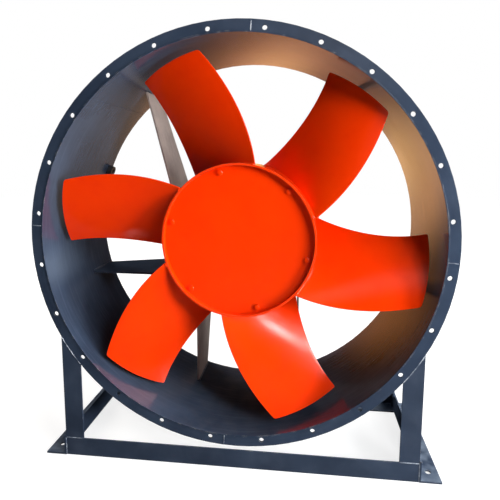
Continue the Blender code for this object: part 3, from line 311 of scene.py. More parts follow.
def layered(name, light, dark, pitch, roughness, axis):
    """Stacked laminations or laid wires: fine bands along one axis."""
    look = Look(name, metallic=1.0)
    bands = look.add("ShaderNodeTexWave", {"wave_type": "BANDS", "bands_direction": axis},
                     Vector=look.place, Scale=1.0 / pitch / math.pi, Distortion=0.4, Detail=1.0,
                     Detail_Scale=3.0)
    value = bands.outputs["Fac"]
    tone = look.mix(look.ramp(value, 0.2, 0.8), dark, light)
    shine = look.ramp(value, 0.0, 1.0, roughness * 1.3, roughness)
    return look.finish(tone, shine, look.bump(value, 0.0004))


def black_plastic():
    """Moulded black nylon with a fine grain."""
    look = Look("black_nylon", specular=0.45)
    grain = look.noise(500.0, detail=2.0)
    tone = look.mix(look.ramp(look.noise(20.0), 0.3, 0.7), NYLON_BLACK, NYLON_GREY)
    return look.finish(tone, look.ramp(grain, 0.3, 0.7, 0.35, 0.55), look.bump(grain, 0.00015))


CASING_PAINT = slate_paint("slate_enamel_rolled", rolled=True, settled=0.06)
FRAME_PAINT = slate_paint("slate_enamel_frame", rolled=False, settled=0.7)
TABLE_PAINT = slate_paint("slate_enamel_table", rolled=False, settled=0.06)
WELD_PAINT = weld_paint()
# Stays and legs: pale dust with a painted reflection
STAY_DUST_AND_REFLECTION_PAINT = dust_and_painted_reflection_paint()
IMPELLER_PAINT = orange_paint("orange_enamel", edge_wear_and_highlight=0.25)
# The drum's rim is much paler: partly rubbed paint, partly a painted highlight on its rounded lip
DRUM_PAINT = orange_paint("orange_enamel_drum", edge_wear_and_highlight=0.85)
CAST_PAINT = motor_paint("motor_enamel_cast", cast=True)
SHEET_PAINT = motor_paint("motor_enamel_sheet", cast=False)
ZINC = plain_metal("zinc_plate", light=(0.62, 0.63, 0.64), dark=(0.42, 0.43, 0.45), roughness=0.32,
                   scale=60.0)
STEEL = plain_metal("turned_steel", light=(0.48, 0.47, 0.46), dark=(0.30, 0.29, 0.28), roughness=0.28,
                    scale=40.0)
LAMINATION = layered("lamination_stack", light=(0.34, 0.34, 0.36), dark=(0.10, 0.10, 0.11), pitch=0.0012,
                     roughness=0.45, axis="Y")
COPPER = layered("wound_copper", light=(0.72, 0.27, 0.10), dark=(0.30, 0.09, 0.03), pitch=0.0016,
                 roughness=0.35, axis="DIAGONAL")
NYLON = black_plastic()


# The model's own nodes: clean shading, small rounded edges and the finishes

def shading_group():
    """Geometry nodes that weld the facets' corners, then shade smooth up to the sharp angle."""
    group = bpy.data.node_groups.new("weld_and_shade", "GeometryNodeTree")
    group.interface.new_socket("Geometry", in_out="INPUT", socket_type="NodeSocketGeometry")
    group.interface.new_socket("Geometry", in_out="OUTPUT", socket_type="NodeSocketGeometry")
    start = group.nodes.new("NodeGroupInput")
    end = group.nodes.new("NodeGroupOutput")
    forget = group.nodes.new("GeometryNodeRemoveAttribute")
    forget.inputs["Name"].default_value = "custom_normal"
    weld = group.nodes.new("GeometryNodeMergeByDistance")
    weld.inputs["Distance"].default_value = WELD_GAP
    faces = group.nodes.new("GeometryNodeSetShadeSmooth")
    edges = group.nodes.new("GeometryNodeSetShadeSmooth")
    edges.domain = "EDGE"
    angle = group.nodes.new("GeometryNodeInputMeshEdgeAngle")
    below = group.nodes.new("FunctionNodeCompare")
    below.operation = "LESS_THAN"
    below.inputs["B"].default_value = math.radians(SMOOTH_DEG)
    join = group.links.new
    join(start.outputs[0], forget.inputs["Geometry"])
    join(forget.outputs["Geometry"], weld.inputs["Geometry"])
    join(weld.outputs["Geometry"], faces.inputs["Geometry"])
    join(faces.outputs["Geometry"], edges.inputs["Geometry"])
    join(angle.outputs["Unsigned Angle"], below.inputs["A"])
    join(below.outputs["Result"], edges.inputs["Shade Smooth"])
    join(edges.outputs["Geometry"], end.inputs[0])
    return group


SHADING = shading_group()


def add_shading(item):
    """Weld and shade, on top of what the item has."""
    item.modifiers.new("weld_and_shade", "NODES").node_group = SHADING


def even_normals(item):
    """Let big faces lead the shading, and keep the sharp edges."""
    normals = item.modifiers.new("face_normals", "WEIGHTED_NORMAL")
    normals.keep_sharp = True


def round_edges(item, width):
    """Join the flat facets, then round every sharp edge a little."""
    add_shading(item)
    flat = item.modifiers.new("join_facets", "DECIMATE")
    flat.decimate_type = "DISSOLVE"
    flat.angle_limit = math.radians(FACET_DEG)
    edge = item.modifiers.new("rounded_edges", "BEVEL")
    edge.limit_method = "ANGLE"
    edge.angle_limit = math.radians(CORNER_DEG)
    edge.width = width
    edge.segments = 2
    add_shading(item)
    even_normals(item)


def dress(node, material, rounding):
    """Give a node of the model its finish, and small rounded edges where asked."""
    item = NODES[node]
    item.data.materials.clear()
    item.data.materials.append(material)
    if rounding > 0.0:
        round_edges(item, rounding)
    else:
        add_shading(item)


# Each node's finish and the width of its rounded edges
FINISHES = {
    "casing_shell": (CASING_PAINT, 0.0008), "front_flange": (CASING_PAINT, 0.0008),
    "rear_flange": (CASING_PAINT, 0.0008), "motor_table": (TABLE_PAINT, 0.0008),
    "front_rail": (FRAME_PAINT, 0.0012), "rear_rail": (FRAME_PAINT, 0.0012),
    "cable_gland": (NYLON, 0.0006), "motor_housing": (CAST_PAINT, 0.0005),
    "drive_end_shield": (CAST_PAINT, 0.0010), "rear_end_shield": (CAST_PAINT, 0.0010),
    "fan_cowl": (SHEET_PAINT, 0.0), "terminal_box": (CAST_PAINT, 0.0008),
    "terminal_lid": (CAST_PAINT, 0.0), "terminal_gland": (NYLON, 0.0006),
    "drive_end_bearing": (STEEL, 0.0006), "rear_end_bearing": (STEEL, 0.0006),
    "stator_core": (LAMINATION, 0.0), "stator_winding": (COPPER, 0.003),
    "rotor_core": (LAMINATION, 0.0), "motor_shaft": (STEEL, 0.0006), "shaft_key": (STEEL, 0.0003),
    "hub_boss": (STEEL, 0.0008), "hub_plate": (IMPELLER_PAINT, 0.0), "hub_drum": (DRUM_PAINT, 0.0012),
    "hub_cover": (IMPELLER_PAINT, 0.0008), "end_washer": (ZINC, 0.0006), "end_bolt": (ZINC, 0.0006),
    "cooling_fan": (NYLON, 0.0),
}
for side in ("left", "right"):
    for name in ("table_leg_", "motor_stay_"):
        # Stays and legs: pale dust with a painted reflection
        FINISHES[name + side] = (STAY_DUST_AND_REFLECTION_PAINT, 0.0008)
    for name in ("side_rail_", "upright_front_", "upright_rear_"):
        FINISHES[name + side] = (FRAME_PAINT, 0.0012)
    FINISHES["packing_bar_" + side] = (ZINC, 0.0005)
for number in range(1, FOOT_BOLTS + 1):
    FINISHES["foot_bolt_%d" % number] = (ZINC, 0.0006)
    FINISHES["foot_nut_%d" % number] = (ZINC, 0.0006)
for number in range(1, COVER_BOLTS + 1):
    FINISHES["cover_bolt_%d" % number] = (IMPELLER_PAINT, 0.0006)
for number in range(1, BLADE_COUNT + 1):
    FINISHES["blade_%d" % number] = (IMPELLER_PAINT, 0.0)
for node, (material, rounding) in FINISHES.items():
    dress(node, material, rounding)


# New pieces

def fan_point(radius, degrees, depth):
    """A place by its radius and angle about the fan's axis and its depth behind the inlet face."""
    angle = math.radians(degrees)
    return Vector((radius * math.cos(angle), INLET_Y + depth, AXIS_Z + radius * math.sin(angle)))


def at(x, depth, rise):
    """A place by its distance to the right, its depth and its height over the fan's axis."""
    return Vector((x, INLET_Y + depth, AXIS_Z + rise))


def drop(radius, x):
    """The rise, below the axis, of a circle about it at a distance x to the side."""
    return -math.sqrt(radius ** 2 - x ** 2)


def new_piece(name, shape, material, body):
    """Turn a bmesh into a piece of the fan that rides on a body."""
    bmesh.ops.recalc_face_normals(shape, faces=shape.faces)
    mesh = bpy.data.meshes.new(name)
    shape.to_mesh(mesh)
    shape.free()
    mesh.materials.append(material)
    mesh.shade_smooth()
    mesh.set_sharp_from_angle(angle=math.radians(SMOOTH_DEG))
    item = bpy.data.objects.new(name, mesh)
    bpy.context.scene.collection.objects.link(item)
    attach(item, body)
    return item


# Plates at the very front: the model's own, set back a little so that weld beads can stand proud
FACE_SETBACK = 0.0012
for node in ("front_flange", "front_rail", "upright_front_left", "upright_front_right"):
    material, rounding = FINISHES[node]
    shape = bmesh.new()
    shape.from_mesh(NODES[node].data)
    bmesh.ops.remove_doubles(shape, verts=shape.verts, dist=WELD_GAP)
    for corner in shape.verts:
        if corner.co.y < INLET_Y + WELD_GAP:
            corner.co.y += FACE_SETBACK
    plate = new_piece(node + "_plate", shape, material, "casing")
    round_edges(plate, rounding)
    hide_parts(node)


# Blades: the model's middle surface again, finer, with rounded edges and trimmed tip corners
BLADE_THICKNESS = 0.003
BLADE_EDGE = 0.0011
BLADE_CORNER = 0.005
BLADE_ROOT_SHARE = -0.004
BLADE_SPAN_STEPS = 40
BLADE_CHORD_STEPS = 26
BLADE_TIP_RADIUS = max(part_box("blade_%d" % k)[1].z for k in range(1, BLADE_COUNT + 1)) - AXIS_Z
BLADE_BOW = (0.014, 0.008)
NORMAL_NUDGE = 0.004
NORMAL_LIMIT = 0.995
RIM_DEG = 50.0
LEAD_SETBACK = 0.0005
HUB_LENGTH = HUB_REAR_Y - HUB_FRONT_Y

# Edge curves over the span: the share at the bend's handle, then the values at root, handle and tip
LEAD_DEG = (0.347, 17.4, 28.0, 41.7)
TRAIL_DEG = (0.26, 75.0, 58.5, 62.5)
TRAIL_RISE_SHARE = (0.35, 0.977, 0.404, 0.414)


def edge_value(share, bend_share, root, bend, tip):
    """A quadratic curve with handles at root, bend and tip, read at a share of the span."""
    curve = 1.0 - 2.0 * bend_share
    step = (math.sqrt(max(bend_share ** 2 + curve * share, 0.0)) - bend_share) / curve
    return (1.0 - step) ** 2 * root + 2.0 * step * (1.0 - step) * bend + step ** 2 * tip


def blade_point(span_share, chord_share):
    """A point of the first blade's middle surface."""
    radius = HUB_RADIUS + span_share * (BLADE_TIP_RADIUS - HUB_RADIUS)
    lead = math.radians(edge_value(span_share, *LEAD_DEG))
    trail = math.radians(edge_value(span_share, *TRAIL_DEG))
    arc = radius * (trail - lead)
    rise = HUB_LENGTH * edge_value(span_share, *TRAIL_RISE_SHARE)
    bow = BLADE_BOW[0] + span_share * (BLADE_BOW[1] - BLADE_BOW[0])
    bulge = 4.0 * bow * chord_share * (1.0 - chord_share) / math.hypot(arc, rise)
    angle = lead + (arc * chord_share + bulge * rise) / radius
    depth = LEAD_SETBACK + rise * chord_share - bulge * arc
    return Vector((radius * math.cos(angle), HUB_FRONT_Y + depth, AXIS_Z + radius * math.sin(angle)))


def blade_normal(span_share, chord_share):
    """The way that the first blade's middle surface faces."""
    further = blade_point(span_share + NORMAL_NUDGE, chord_share)
    along = further - blade_point(span_share - NORMAL_NUDGE, chord_share)
    later = blade_point(span_share, chord_share + NORMAL_NUDGE)
    across = later - blade_point(span_share, chord_share - NORMAL_NUDGE)
    return along.cross(across).normalized()


def blade_turn(number):
    """The turn about the fan's axis from the first blade to another."""
    centre = Matrix.Translation((0.0, 0.0, AXIS_Z))
    return centre @ Matrix.Rotation(-math.tau * (number - 1) / BLADE_COUNT, 4, "Y") @ centre.inverted()


def blade_shape():
    """The first blade: both faces of its sheet, the rim between them, trimmed tips and rounded edges."""
    shape = bmesh.new()
    sides = []
    for sign in (-0.5, 0.5):
        rows = []
        for i in range(BLADE_SPAN_STEPS + 1):
            span = BLADE_ROOT_SHARE + (1.0 - BLADE_ROOT_SHARE) * i / BLADE_SPAN_STEPS
            row = []
            for j in range(BLADE_CHORD_STEPS + 1):
                chord = j / BLADE_CHORD_STEPS
                offset = blade_normal(min(span, NORMAL_LIMIT), chord) * (sign * BLADE_THICKNESS)
                row.append(shape.verts.new(blade_point(span, chord) + offset))
            rows.append(row)
        sides.append(rows)
        for i in range(BLADE_SPAN_STEPS):
            for j in range(BLADE_CHORD_STEPS):
                shape.faces.new((rows[i][j], rows[i][j + 1], rows[i + 1][j + 1], rows[i + 1][j]))
    low, high = sides
    rim = [(i, 0) for i in range(BLADE_SPAN_STEPS + 1)]
    rim += [(BLADE_SPAN_STEPS, j) for j in range(1, BLADE_CHORD_STEPS + 1)]
    rim += [(i, BLADE_CHORD_STEPS) for i in range(BLADE_SPAN_STEPS - 1, -1, -1)]
    rim += [(0, j) for j in range(BLADE_CHORD_STEPS - 1, 0, -1)]
    for k, (i, j) in enumerate(rim):
        m, n = rim[(k + 1) % len(rim)]
        shape.faces.new((low[i][j], low[m][n], high[m][n], high[i][j]))
    bmesh.ops.recalc_face_normals(shape, faces=shape.faces)
    tips = []
    for j in (0, BLADE_CHORD_STEPS):
        ends = {low[BLADE_SPAN_STEPS][j], high[BLADE_SPAN_STEPS][j]}
        tips += [edge for edge in shape.edges if set(edge.verts) == ends]
    bmesh.ops.bevel(shape, geom=tips, offset=BLADE_CORNER, segments=5, profile=0.5, affect="EDGES")
    rims = [edge for edge in shape.edges if edge.calc_face_angle(0.0) > math.radians(RIM_DEG)]
    bmesh.ops.bevel(shape, geom=rims, offset=BLADE_EDGE, segments=3, profile=0.5, affect="EDGES",
                    clamp_overlap=True)
    return shape


for number in range(1, BLADE_COUNT + 1):
    shape = blade_shape()
    bmesh.ops.transform(shape, matrix=blade_turn(number), verts=shape.verts)
    blade = new_piece("blade_sheet_%d" % number, shape, IMPELLER_PAINT, "impeller")
    even_normals(blade)
    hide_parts("blade_%d" % number)


# Weld beads: their section, ripples, wandering width and tapered ends, and how far they stand off a plate
BEAD_STEP = 0.0013
BEAD_SIDES = 8
RIPPLE_PITCH = 0.0038
RIPPLE_DEPTH = 0.10
WANDER_DEPTH = 0.2
WANDER_SCALE = 85.0
TAPER_RADII = 3.0
BEAD_STANDOFF = 0.0008


def sweep(shape, route, radii):
    """Skin a round section of changing radius along a route, with closed ends."""
    rings = []
    side_way = None
    for k, centre in enumerate(route):
        way = (route[min(k + 1, len(route) - 1)] - route[max(k - 1, 0)]).normalized()
        if side_way is None:
            side_way = way.orthogonal()
        side_way = (side_way - way * side_way.dot(way)).normalized()
        up_way = way.cross(side_way)
        ring = []
        for side in range(BEAD_SIDES):
            turn_angle = math.tau * side / BEAD_SIDES
            spoke = math.cos(turn_angle) * side_way + math.sin(turn_angle) * up_way
            ring.append(shape.verts.new(centre + radii[k] * spoke))
        rings.append(ring)
    for first, second in zip(rings, rings[1:]):
        for side in range(BEAD_SIDES):
            other = (side + 1) % BEAD_SIDES
            shape.faces.new((first[side], first[other], second[other], second[side]))
    shape.faces.new(rings[0])
    shape.faces.new(rings[-1])


def evenly(route, step):
    """The same route with its points spaced evenly, about a step apart, and its length."""
    total = sum((b - a).length for a, b in zip(route, route[1:]))
    count = max(4, round(total / step))
    spots = []
    for k in range(count + 1):
        left = total * k / count
        for a, b in zip(route, route[1:]):
            length = (b - a).length
            if left <= length or b is route[-1]:
                spots.append(a.lerp(b, min(left / length, 1.0)))
                break
            left -= length
    return spots, total


def lay_bead(shape, route, radius):
    """A hand-laid bead: ripples, small wanderings in width and tapered ends."""
    spots, total = evenly(route, BEAD_STEP)
    radii = []
    for k, spot in enumerate(spots):
        run = total * k / (len(spots) - 1)
        ripple = 1.0 + RIPPLE_DEPTH * math.sin(math.tau * run / RIPPLE_PITCH)
        wander = 1.0 + WANDER_DEPTH * noise.noise(spot * WANDER_SCALE)
        taper = min(1.0, 0.5 + min(run, total - run) / (TAPER_RADII * radius))
        radii.append(radius * ripple * wander * taper)
    sweep(shape, spots, radii)


def weld(name, routes, radius, material, slot="slate_paint", body="casing"):
    """One piece of several beads."""
    shape = bmesh.new()
    for route in routes:
        lay_bead(shape, route, radius)
    new_piece(name, shape, material, body)


def along_depth(x, near, far, rise):
    """A straight route from one depth to another."""
    return [at(x, near, rise), at(x, far, rise)]


# Blade roots, on both faces
ROOT_BEAD = 0.0027
ROOT_SHARE = 0.003
ROOT_STANDOFF = ROOT_BEAD * 0.35
ROOT_MARGIN = 0.01
for number in range(1, BLADE_COUNT + 1):
    routes = []
    for sign in (-1.0, 1.0):
        lift = sign * (BLADE_THICKNESS / 2 + ROOT_STANDOFF)
        route = []
        for j in range(BLADE_CHORD_STEPS + 1):
            chord = ROOT_MARGIN + (1.0 - 2.0 * ROOT_MARGIN) * j / BLADE_CHORD_STEPS
            spot = blade_point(ROOT_SHARE, chord) + lift * blade_normal(ROOT_SHARE, chord)
            route.append(blade_turn(number) @ spot)
        routes.append(route)
    weld("blade_weld_%d" % number, routes, ROOT_BEAD, IMPELLER_PAINT, "orange_paint", "impeller")

# Joints between the flange's four segments, front and rear
JOINT_DEGREES = (86.1, -3.4, 176.05, 266.6)
JOINT_BEAD = 0.0015
JOINT_STEPS = 8
JOINT_FRONT_DEPTH = 0.0021
JOINT_REAR_SINK = 0.0011
JOINT_STRAY_DEG = 0.10
JOINT_STRAY_SCALE = 300.0
for side, depth in (("front", JOINT_FRONT_DEPTH), ("rear", CASING_DEPTH - JOINT_REAR_SINK)):
    routes = []
    for degrees in JOINT_DEGREES:
        route = []
        for k in range(JOINT_STEPS + 1):
            radius = SHELL_RADIUS - SHELL_SHEET / 2 + (FLANGE_RADIUS - SHELL_RADIUS) * k / JOINT_STEPS
            stray = JOINT_STRAY_DEG * noise.noise(Vector((radius * JOINT_STRAY_SCALE, degrees, depth)))
            route.append(fan_point(radius, degrees + stray, depth))
        routes.append(route)
    weld(side + "_flange_joints", routes, JOINT_BEAD, WELD_PAINT)

# Short fillets between the shell and the backs of its flanges
STITCH_COUNT = 16
STITCH_STEPS = 10
STITCH_DEG = 3.2
STITCH_BEAD = 0.0026
STITCH_RADIUS = SHELL_RADIUS + BEAD_STANDOFF
STITCH_DEPTH = FLANGE_THICKNESS + BEAD_STANDOFF
for side, depth in (("front", STITCH_DEPTH), ("rear", CASING_DEPTH - STITCH_DEPTH)):
    routes = []
    for stitch in range(STITCH_COUNT):
        start = 360.0 * (stitch + 0.5) / STITCH_COUNT - STITCH_DEG
        turns = [start + 2.0 * STITCH_DEG * k / STITCH_STEPS for k in range(STITCH_STEPS + 1)]
        routes.append([fan_point(STITCH_RADIUS, degrees, depth) for degrees in turns])
    weld(side + "_flange_stitches", routes, STITCH_BEAD, CASING_PAINT)

# The casing sheet's own seam, ground nearly flush
SEAM_DEG = 135.3
SEAM_BEAD = 0.0015
SEAM_SINK = 0.0012
SEAM_MARGIN = 0.004
SEAM_STEPS = 30
for side, radius in (("inner", BORE_RADIUS + SEAM_SINK), ("outer", SHELL_RADIUS - SEAM_SINK)):
    route = []
    for k in range(SEAM_STEPS + 1):
        depth = SEAM_MARGIN + (CASING_DEPTH - 2.0 * SEAM_MARGIN) * k / SEAM_STEPS
        route.append(fan_point(radius, SEAM_DEG, depth))
    weld("casing_seam_" + side, [route], SEAM_BEAD, CASING_PAINT)

# Base frame joints
UPRIGHT_X = -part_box("upright_front_left")[0].x
RAIL_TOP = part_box("front_rail")[1].z - AXIS_Z
ANGLE_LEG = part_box("front_rail")[1].z
ANGLE_INNER_X = UPRIGHT_X - ANGLE_LEG
BASE_BEAD = 0.0016
BASE_STEPS = 10
BASE_FRONT_DEPTH = 0.0022
BASE_REAR_SINK = 0.0012
BASE_GAP = 0.001
FLOOR_GAP = 0.002
CASING_GAP = 0.0003
UPRIGHT_RISE = drop(SHELL_RADIUS + BEAD_STANDOFF, UPRIGHT_X)
FRONT_LEG = (FLANGE_THICKNESS + BASE_GAP, ANGLE_LEG)
REAR_LEG = (CASING_DEPTH - ANGLE_LEG, CASING_DEPTH - FLANGE_THICKNESS - BASE_GAP)
for side, sign in SIDES:
    inner_x = sign * ANGLE_INNER_X
    outer_x = sign * UPRIGHT_X
    routes = []
    for face in (BASE_FRONT_DEPTH, CASING_DEPTH - BASE_REAR_SINK):
        flange_run = []
        for k in range(BASE_STEPS + 1):
            x = ANGLE_INNER_X + (UPRIGHT_X - ANGLE_INNER_X) * k / BASE_STEPS
            flange_run.append(at(sign * x, face, drop(FLANGE_RADIUS, x)))
        rail_end = at(outer_x - sign * BASE_GAP, face, RAIL_TOP)
        foot = at(outer_x, face, FLOOR_GAP - AXIS_Z)
        routes.append(flange_run)
        routes.append([at(inner_x, face, RAIL_TOP), rail_end])
        routes.append([at(outer_x, face, RAIL_TOP - BASE_GAP), foot])
    for near, far in (FRONT_LEG, REAR_LEG):
        routes.append(along_depth(outer_x + sign * CASING_GAP, near, far, UPRIGHT_RISE))
    weld("base_welds_" + side, routes, BASE_BEAD, WELD_PAINT)

# Motor carrier joints
TABLE_LOW, TABLE_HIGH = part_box("motor_table")
LEG_LOW, LEG_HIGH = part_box("table_leg_right")
CARRIER_BEAD = 0.0024
WALL_STANDOFF = 0.0012
TABLE_MARGIN = 0.003
OUTLET_MARGIN = 0.012
CARRIER_RADIUS = BORE_RADIUS - WALL_STANDOFF
CARRIER_NEAR = TABLE_LOW.y - INLET_Y + TABLE_MARGIN
CARRIER_FAR = CASING_DEPTH - OUTLET_MARGIN
OVER_TABLE = TABLE_HIGH.z - AXIS_Z + BEAD_STANDOFF
UNDER_TABLE = TABLE_LOW.z - AXIS_Z - BEAD_STANDOFF
for side, sign in SIDES:
    routes = []
    for rise in (OVER_TABLE, UNDER_TABLE):
        x = math.sqrt(CARRIER_RADIUS ** 2 - rise ** 2)
        routes.append(along_depth(sign * x, CARRIER_NEAR, CARRIER_FAR, rise))
    for x in (LEG_LOW.x - BEAD_STANDOFF, LEG_HIGH.x + BEAD_STANDOFF):
        for rise in (drop(CARRIER_RADIUS, x), UNDER_TABLE):
            routes.append(along_depth(sign * x, CARRIER_NEAR, CARRIER_FAR, rise))
    weld("carrier_welds_" + side, routes, CARRIER_BEAD, FRAME_PAINT)


# Bolts, nuts and screws, with chamfered corners
SCREW_SIDES = 48
CHAMFER_SLOPE = 0.45
CHAMFER_STEPS = 4
HEX_ROUND = 0.93
POINT_SHARE = 0.8
POINT_SLOPE = 0.25


def hex_reach(flats, degrees):
    """How far a hexagon reaches at an angle, from its width across flats."""
    return flats / 2 / math.cos(math.radians((degrees + 30.0) % 60.0 - 30.0))


def lathe(shape, foot, way, rings):
    """Skin rings of (height, reach by degrees) along a way, and give them back to be closed."""
    side_way = way.orthogonal().normalized()
    up_way = way.cross(side_way)
    made = []
    for height, reach in rings:
        ring = []
        for k in range(SCREW_SIDES):
            degrees = 360.0 * k / SCREW_SIDES
            turn_angle = math.radians(degrees)
            spoke = math.cos(turn_angle) * side_way + math.sin(turn_angle) * up_way
            ring.append(shape.verts.new(foot + height * way + reach(degrees) * spoke))
        made.append(ring)
    for first, second in zip(made, made[1:]):
        for k in range(SCREW_SIDES):
            other = (k + 1) % SCREW_SIDES
            shape.faces.new((first[k], first[other], second[other], second[k]))
    return made


def disc(reach):
    """A round ring's reach by degrees."""
    return lambda degrees: reach


def hexagon(flats, limit):
    """A hexagonal ring's reach by degrees, with its corners cut off at a limit."""
    return lambda degrees: min(hex_reach(flats, degrees), limit)


def hex_rings(flats, low, high, both_ends):
    """Rings of a hexagon whose corners are turned down at its top, and at its foot where asked."""
    corner = flats / math.sqrt(3.0)
    turned = HEX_ROUND * flats / 2
    fall = (corner - turned) * CHAMFER_SLOPE
    shares = [k / CHAMFER_STEPS for k in range(CHAMFER_STEPS + 1)]
    rings = []
    if both_ends:
        for share in shares:
            rings.append((low + fall * share, hexagon(flats, corner + (turned - corner) * (1.0 - share))))
    else:
        rings.append((low, hexagon(flats, corner)))
    for share in shares:
        rings.append((high - fall + fall * share, hexagon(flats, corner + (turned - corner) * share)))
    return rings


def hex_bolt(name, seat, way, flats, head, shank, length, material, body):
    """A bolt whose head stands on its seat along a way, with its shank behind."""
    shape = bmesh.new()
    rings = [(-length, disc(shank * POINT_SHARE)), (-length + shank * POINT_SLOPE, disc(shank))]
    rings.append((0.0, disc(shank)))
    made = lathe(shape, seat, way, rings + hex_rings(flats, 0.0, head, False))
    shape.faces.new(made[0])
    shape.faces.new(made[-1])
    return new_piece(name, shape, material, body)


def hex_nut(name, seat, way, flats, height, bore, material, body):
    """A nut that stands on its seat along a way, open through its middle."""
    shape = bmesh.new()
    rings = [(0.0, disc(bore))] + hex_rings(flats, 0.0, height, True) + [(height, disc(bore))]
    made = lathe(shape, seat, way, rings)
    for k in range(SCREW_SIDES):
        other = (k + 1) % SCREW_SIDES
        shape.faces.new((made[0][k], made[0][other], made[-1][other], made[-1][k]))
    return new_piece(name, shape, material, body)


# The model's bolts in the hub's cover and in the motor's feet, again with chamfers
COVER_BOLT_FLATS = 0.013
COVER_BOLT_SHANK = 0.0039
for number in range(1, COVER_BOLTS + 1):
    node = "cover_bolt_%d" % number
    low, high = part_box(node)
    middle = (low + high) / 2
    seat = Vector((middle.x, COVER_Y, middle.z))
    bolt = hex_bolt("cover_screw_%d" % number, seat, FORWARD, COVER_BOLT_FLATS, COVER_Y - low.y,
                    COVER_BOLT_SHANK, high.y - COVER_Y, IMPELLER_PAINT, "impeller")
    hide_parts(node)
FOOT_BOLT_FLATS = 0.016
FOOT_BOLT_HEAD = 0.0064
FOOT_BOLT_SHANK = 0.0049
NUT_CLEARANCE = 0.0002
for number in range(1, FOOT_BOLTS + 1):
    low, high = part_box("foot_bolt_%d" % number)
    middle = (low + high) / 2
    seat = Vector((middle.x, middle.y, high.z - FOOT_BOLT_HEAD))
    bolt = hex_bolt("foot_screw_%d" % number, seat, UP, FOOT_BOLT_FLATS, FOOT_BOLT_HEAD, FOOT_BOLT_SHANK,
                    seat.z - low.z, ZINC, "casing")
    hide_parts("foot_bolt_%d" % number)
    low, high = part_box("foot_nut_%d" % number)
    seat = Vector((middle.x, middle.y, low.z))
    nut = hex_nut("foot_clamp_nut_%d" % number, seat, UP, FOOT_BOLT_FLATS, high.z - low.z,
                  FOOT_BOLT_SHANK + NUT_CLEARANCE, ZINC, "casing")
    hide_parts("foot_nut_%d" % number)

# Small screws on the motor: the terminal lid's and the cowl's
PAN_RADIUS = 0.0045
PAN_HEIGHT = 0.0028
PAN_OUTLINE = ((0.0, 1.0), (0.6, 1.0), (0.9, 0.86), (1.0, 0.65))
SHANK_RADIUS = PAN_RADIUS * 0.5
SOCKET_FLATS = PAN_RADIUS * 0.9
SOCKET_FLOOR = PAN_HEIGHT * 0.35
SCREW_SINK = 0.0015


def pan_screw(shape, seat, way):
    """A round-headed screw with a hexagon socket."""
    socket = hexagon(SOCKET_FLATS, PAN_RADIUS)
    rings = [(-SCREW_SINK, disc(SHANK_RADIUS)), (0.0, disc(SHANK_RADIUS))]
    rings += [(PAN_HEIGHT * rise, disc(PAN_RADIUS * reach)) for rise, reach in PAN_OUTLINE]
    rings += [(PAN_HEIGHT, socket), (SOCKET_FLOOR, socket)]
    made = lathe(shape, seat, way, rings)
    shape.faces.new(made[0])
    shape.faces.new(made[-1])


LID_LOW, LID_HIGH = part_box("terminal_lid")
LID_SCREW_INSET = 0.011
shape = bmesh.new()
for x in (LID_LOW.x + LID_SCREW_INSET, LID_HIGH.x - LID_SCREW_INSET):
    for y in (LID_LOW.y + LID_SCREW_INSET, LID_HIGH.y - LID_SCREW_INSET):
        pan_screw(shape, Vector((x, y, LID_HIGH.z)), UP)
new_piece("terminal_lid_screws", shape, ZINC, "casing")

COWL_LOW, COWL_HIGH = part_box("fan_cowl")
COWL_RADIUS = COWL_HIGH.x
COWL_SCREW_INSET = 0.009
COWL_SCREW_DEGREES = (45.0, 135.0, 225.0, 315.0)
shape = bmesh.new()
for degrees in COWL_SCREW_DEGREES:
    out = (fan_point(1.0, degrees, 0.0) - fan_point(0.0, degrees, 0.0)).normalized()
    pan_screw(shape, fan_point(COWL_RADIUS, degrees, COWL_LOW.y + COWL_SCREW_INSET - INLET_Y), out)
new_piece("fan_cowl_screws", shape, ZINC, "casing")


# Studio: the rays that see it bright, the dim fill light, the floor, and a length that counts as endless
EYE_RAYS = ("Is Camera Ray", "Is Glossy Ray", "Is Transmission Ray")
WHITE = (1.0, 1.0, 1.0)
BLACK = (0.0, 0.0, 0.0)
AMBIENT = 0.022
AMBIENT_COLOUR = (0.90, 0.95, 1.0, 1.0)
FLOOR_RADIUS = 9.0
FLOOR_DROP = 0.0004
FLOOR_GREY = (0.35, 0.35, 0.35, 1.0)
FLOOR_FADE = (0.8, 2.4, 0.78, 1.0)
FLAT = 1.0e9


def any_ray(tree, *kinds):
    """1 for a ray of any of these kinds."""
    path = tree.nodes.new("ShaderNodeLightPath")
    found = path.outputs[kinds[0]]
    for kind in kinds[1:]:
        either = tree.nodes.new("ShaderNodeMath")
        either.operation = "MAXIMUM"
        tree.links.new(found, either.inputs[0])
        tree.links.new(path.outputs[kind], either.inputs[1])
        found = either.outputs[0]
    return found


def make_world():
    """White to the camera and to gloss, and a dim fill light to all else."""
    world = bpy.data.worlds.new("studio_white")
    bpy.context.scene.world = world
    world.use_nodes = True
    tree = world.node_tree
    soft = tree.nodes["Background"]
    soft.inputs["Color"].default_value = AMBIENT_COLOUR
    soft.inputs["Strength"].default_value = AMBIENT
    white = tree.nodes.new("ShaderNodeBackground")
    white.inputs["Color"].default_value = (*WHITE, 1.0)
    white.inputs["Strength"].default_value = 1.0
    mix = tree.nodes.new("ShaderNodeMixShader")
    tree.links.new(any_ray(tree, *EYE_RAYS), mix.inputs["Fac"])
    tree.links.new(soft.outputs[0], mix.inputs[1])
    tree.links.new(white.outputs[0], mix.inputs[2])
    tree.links.new(mix.outputs[0], tree.nodes["World Output"].inputs["Surface"])


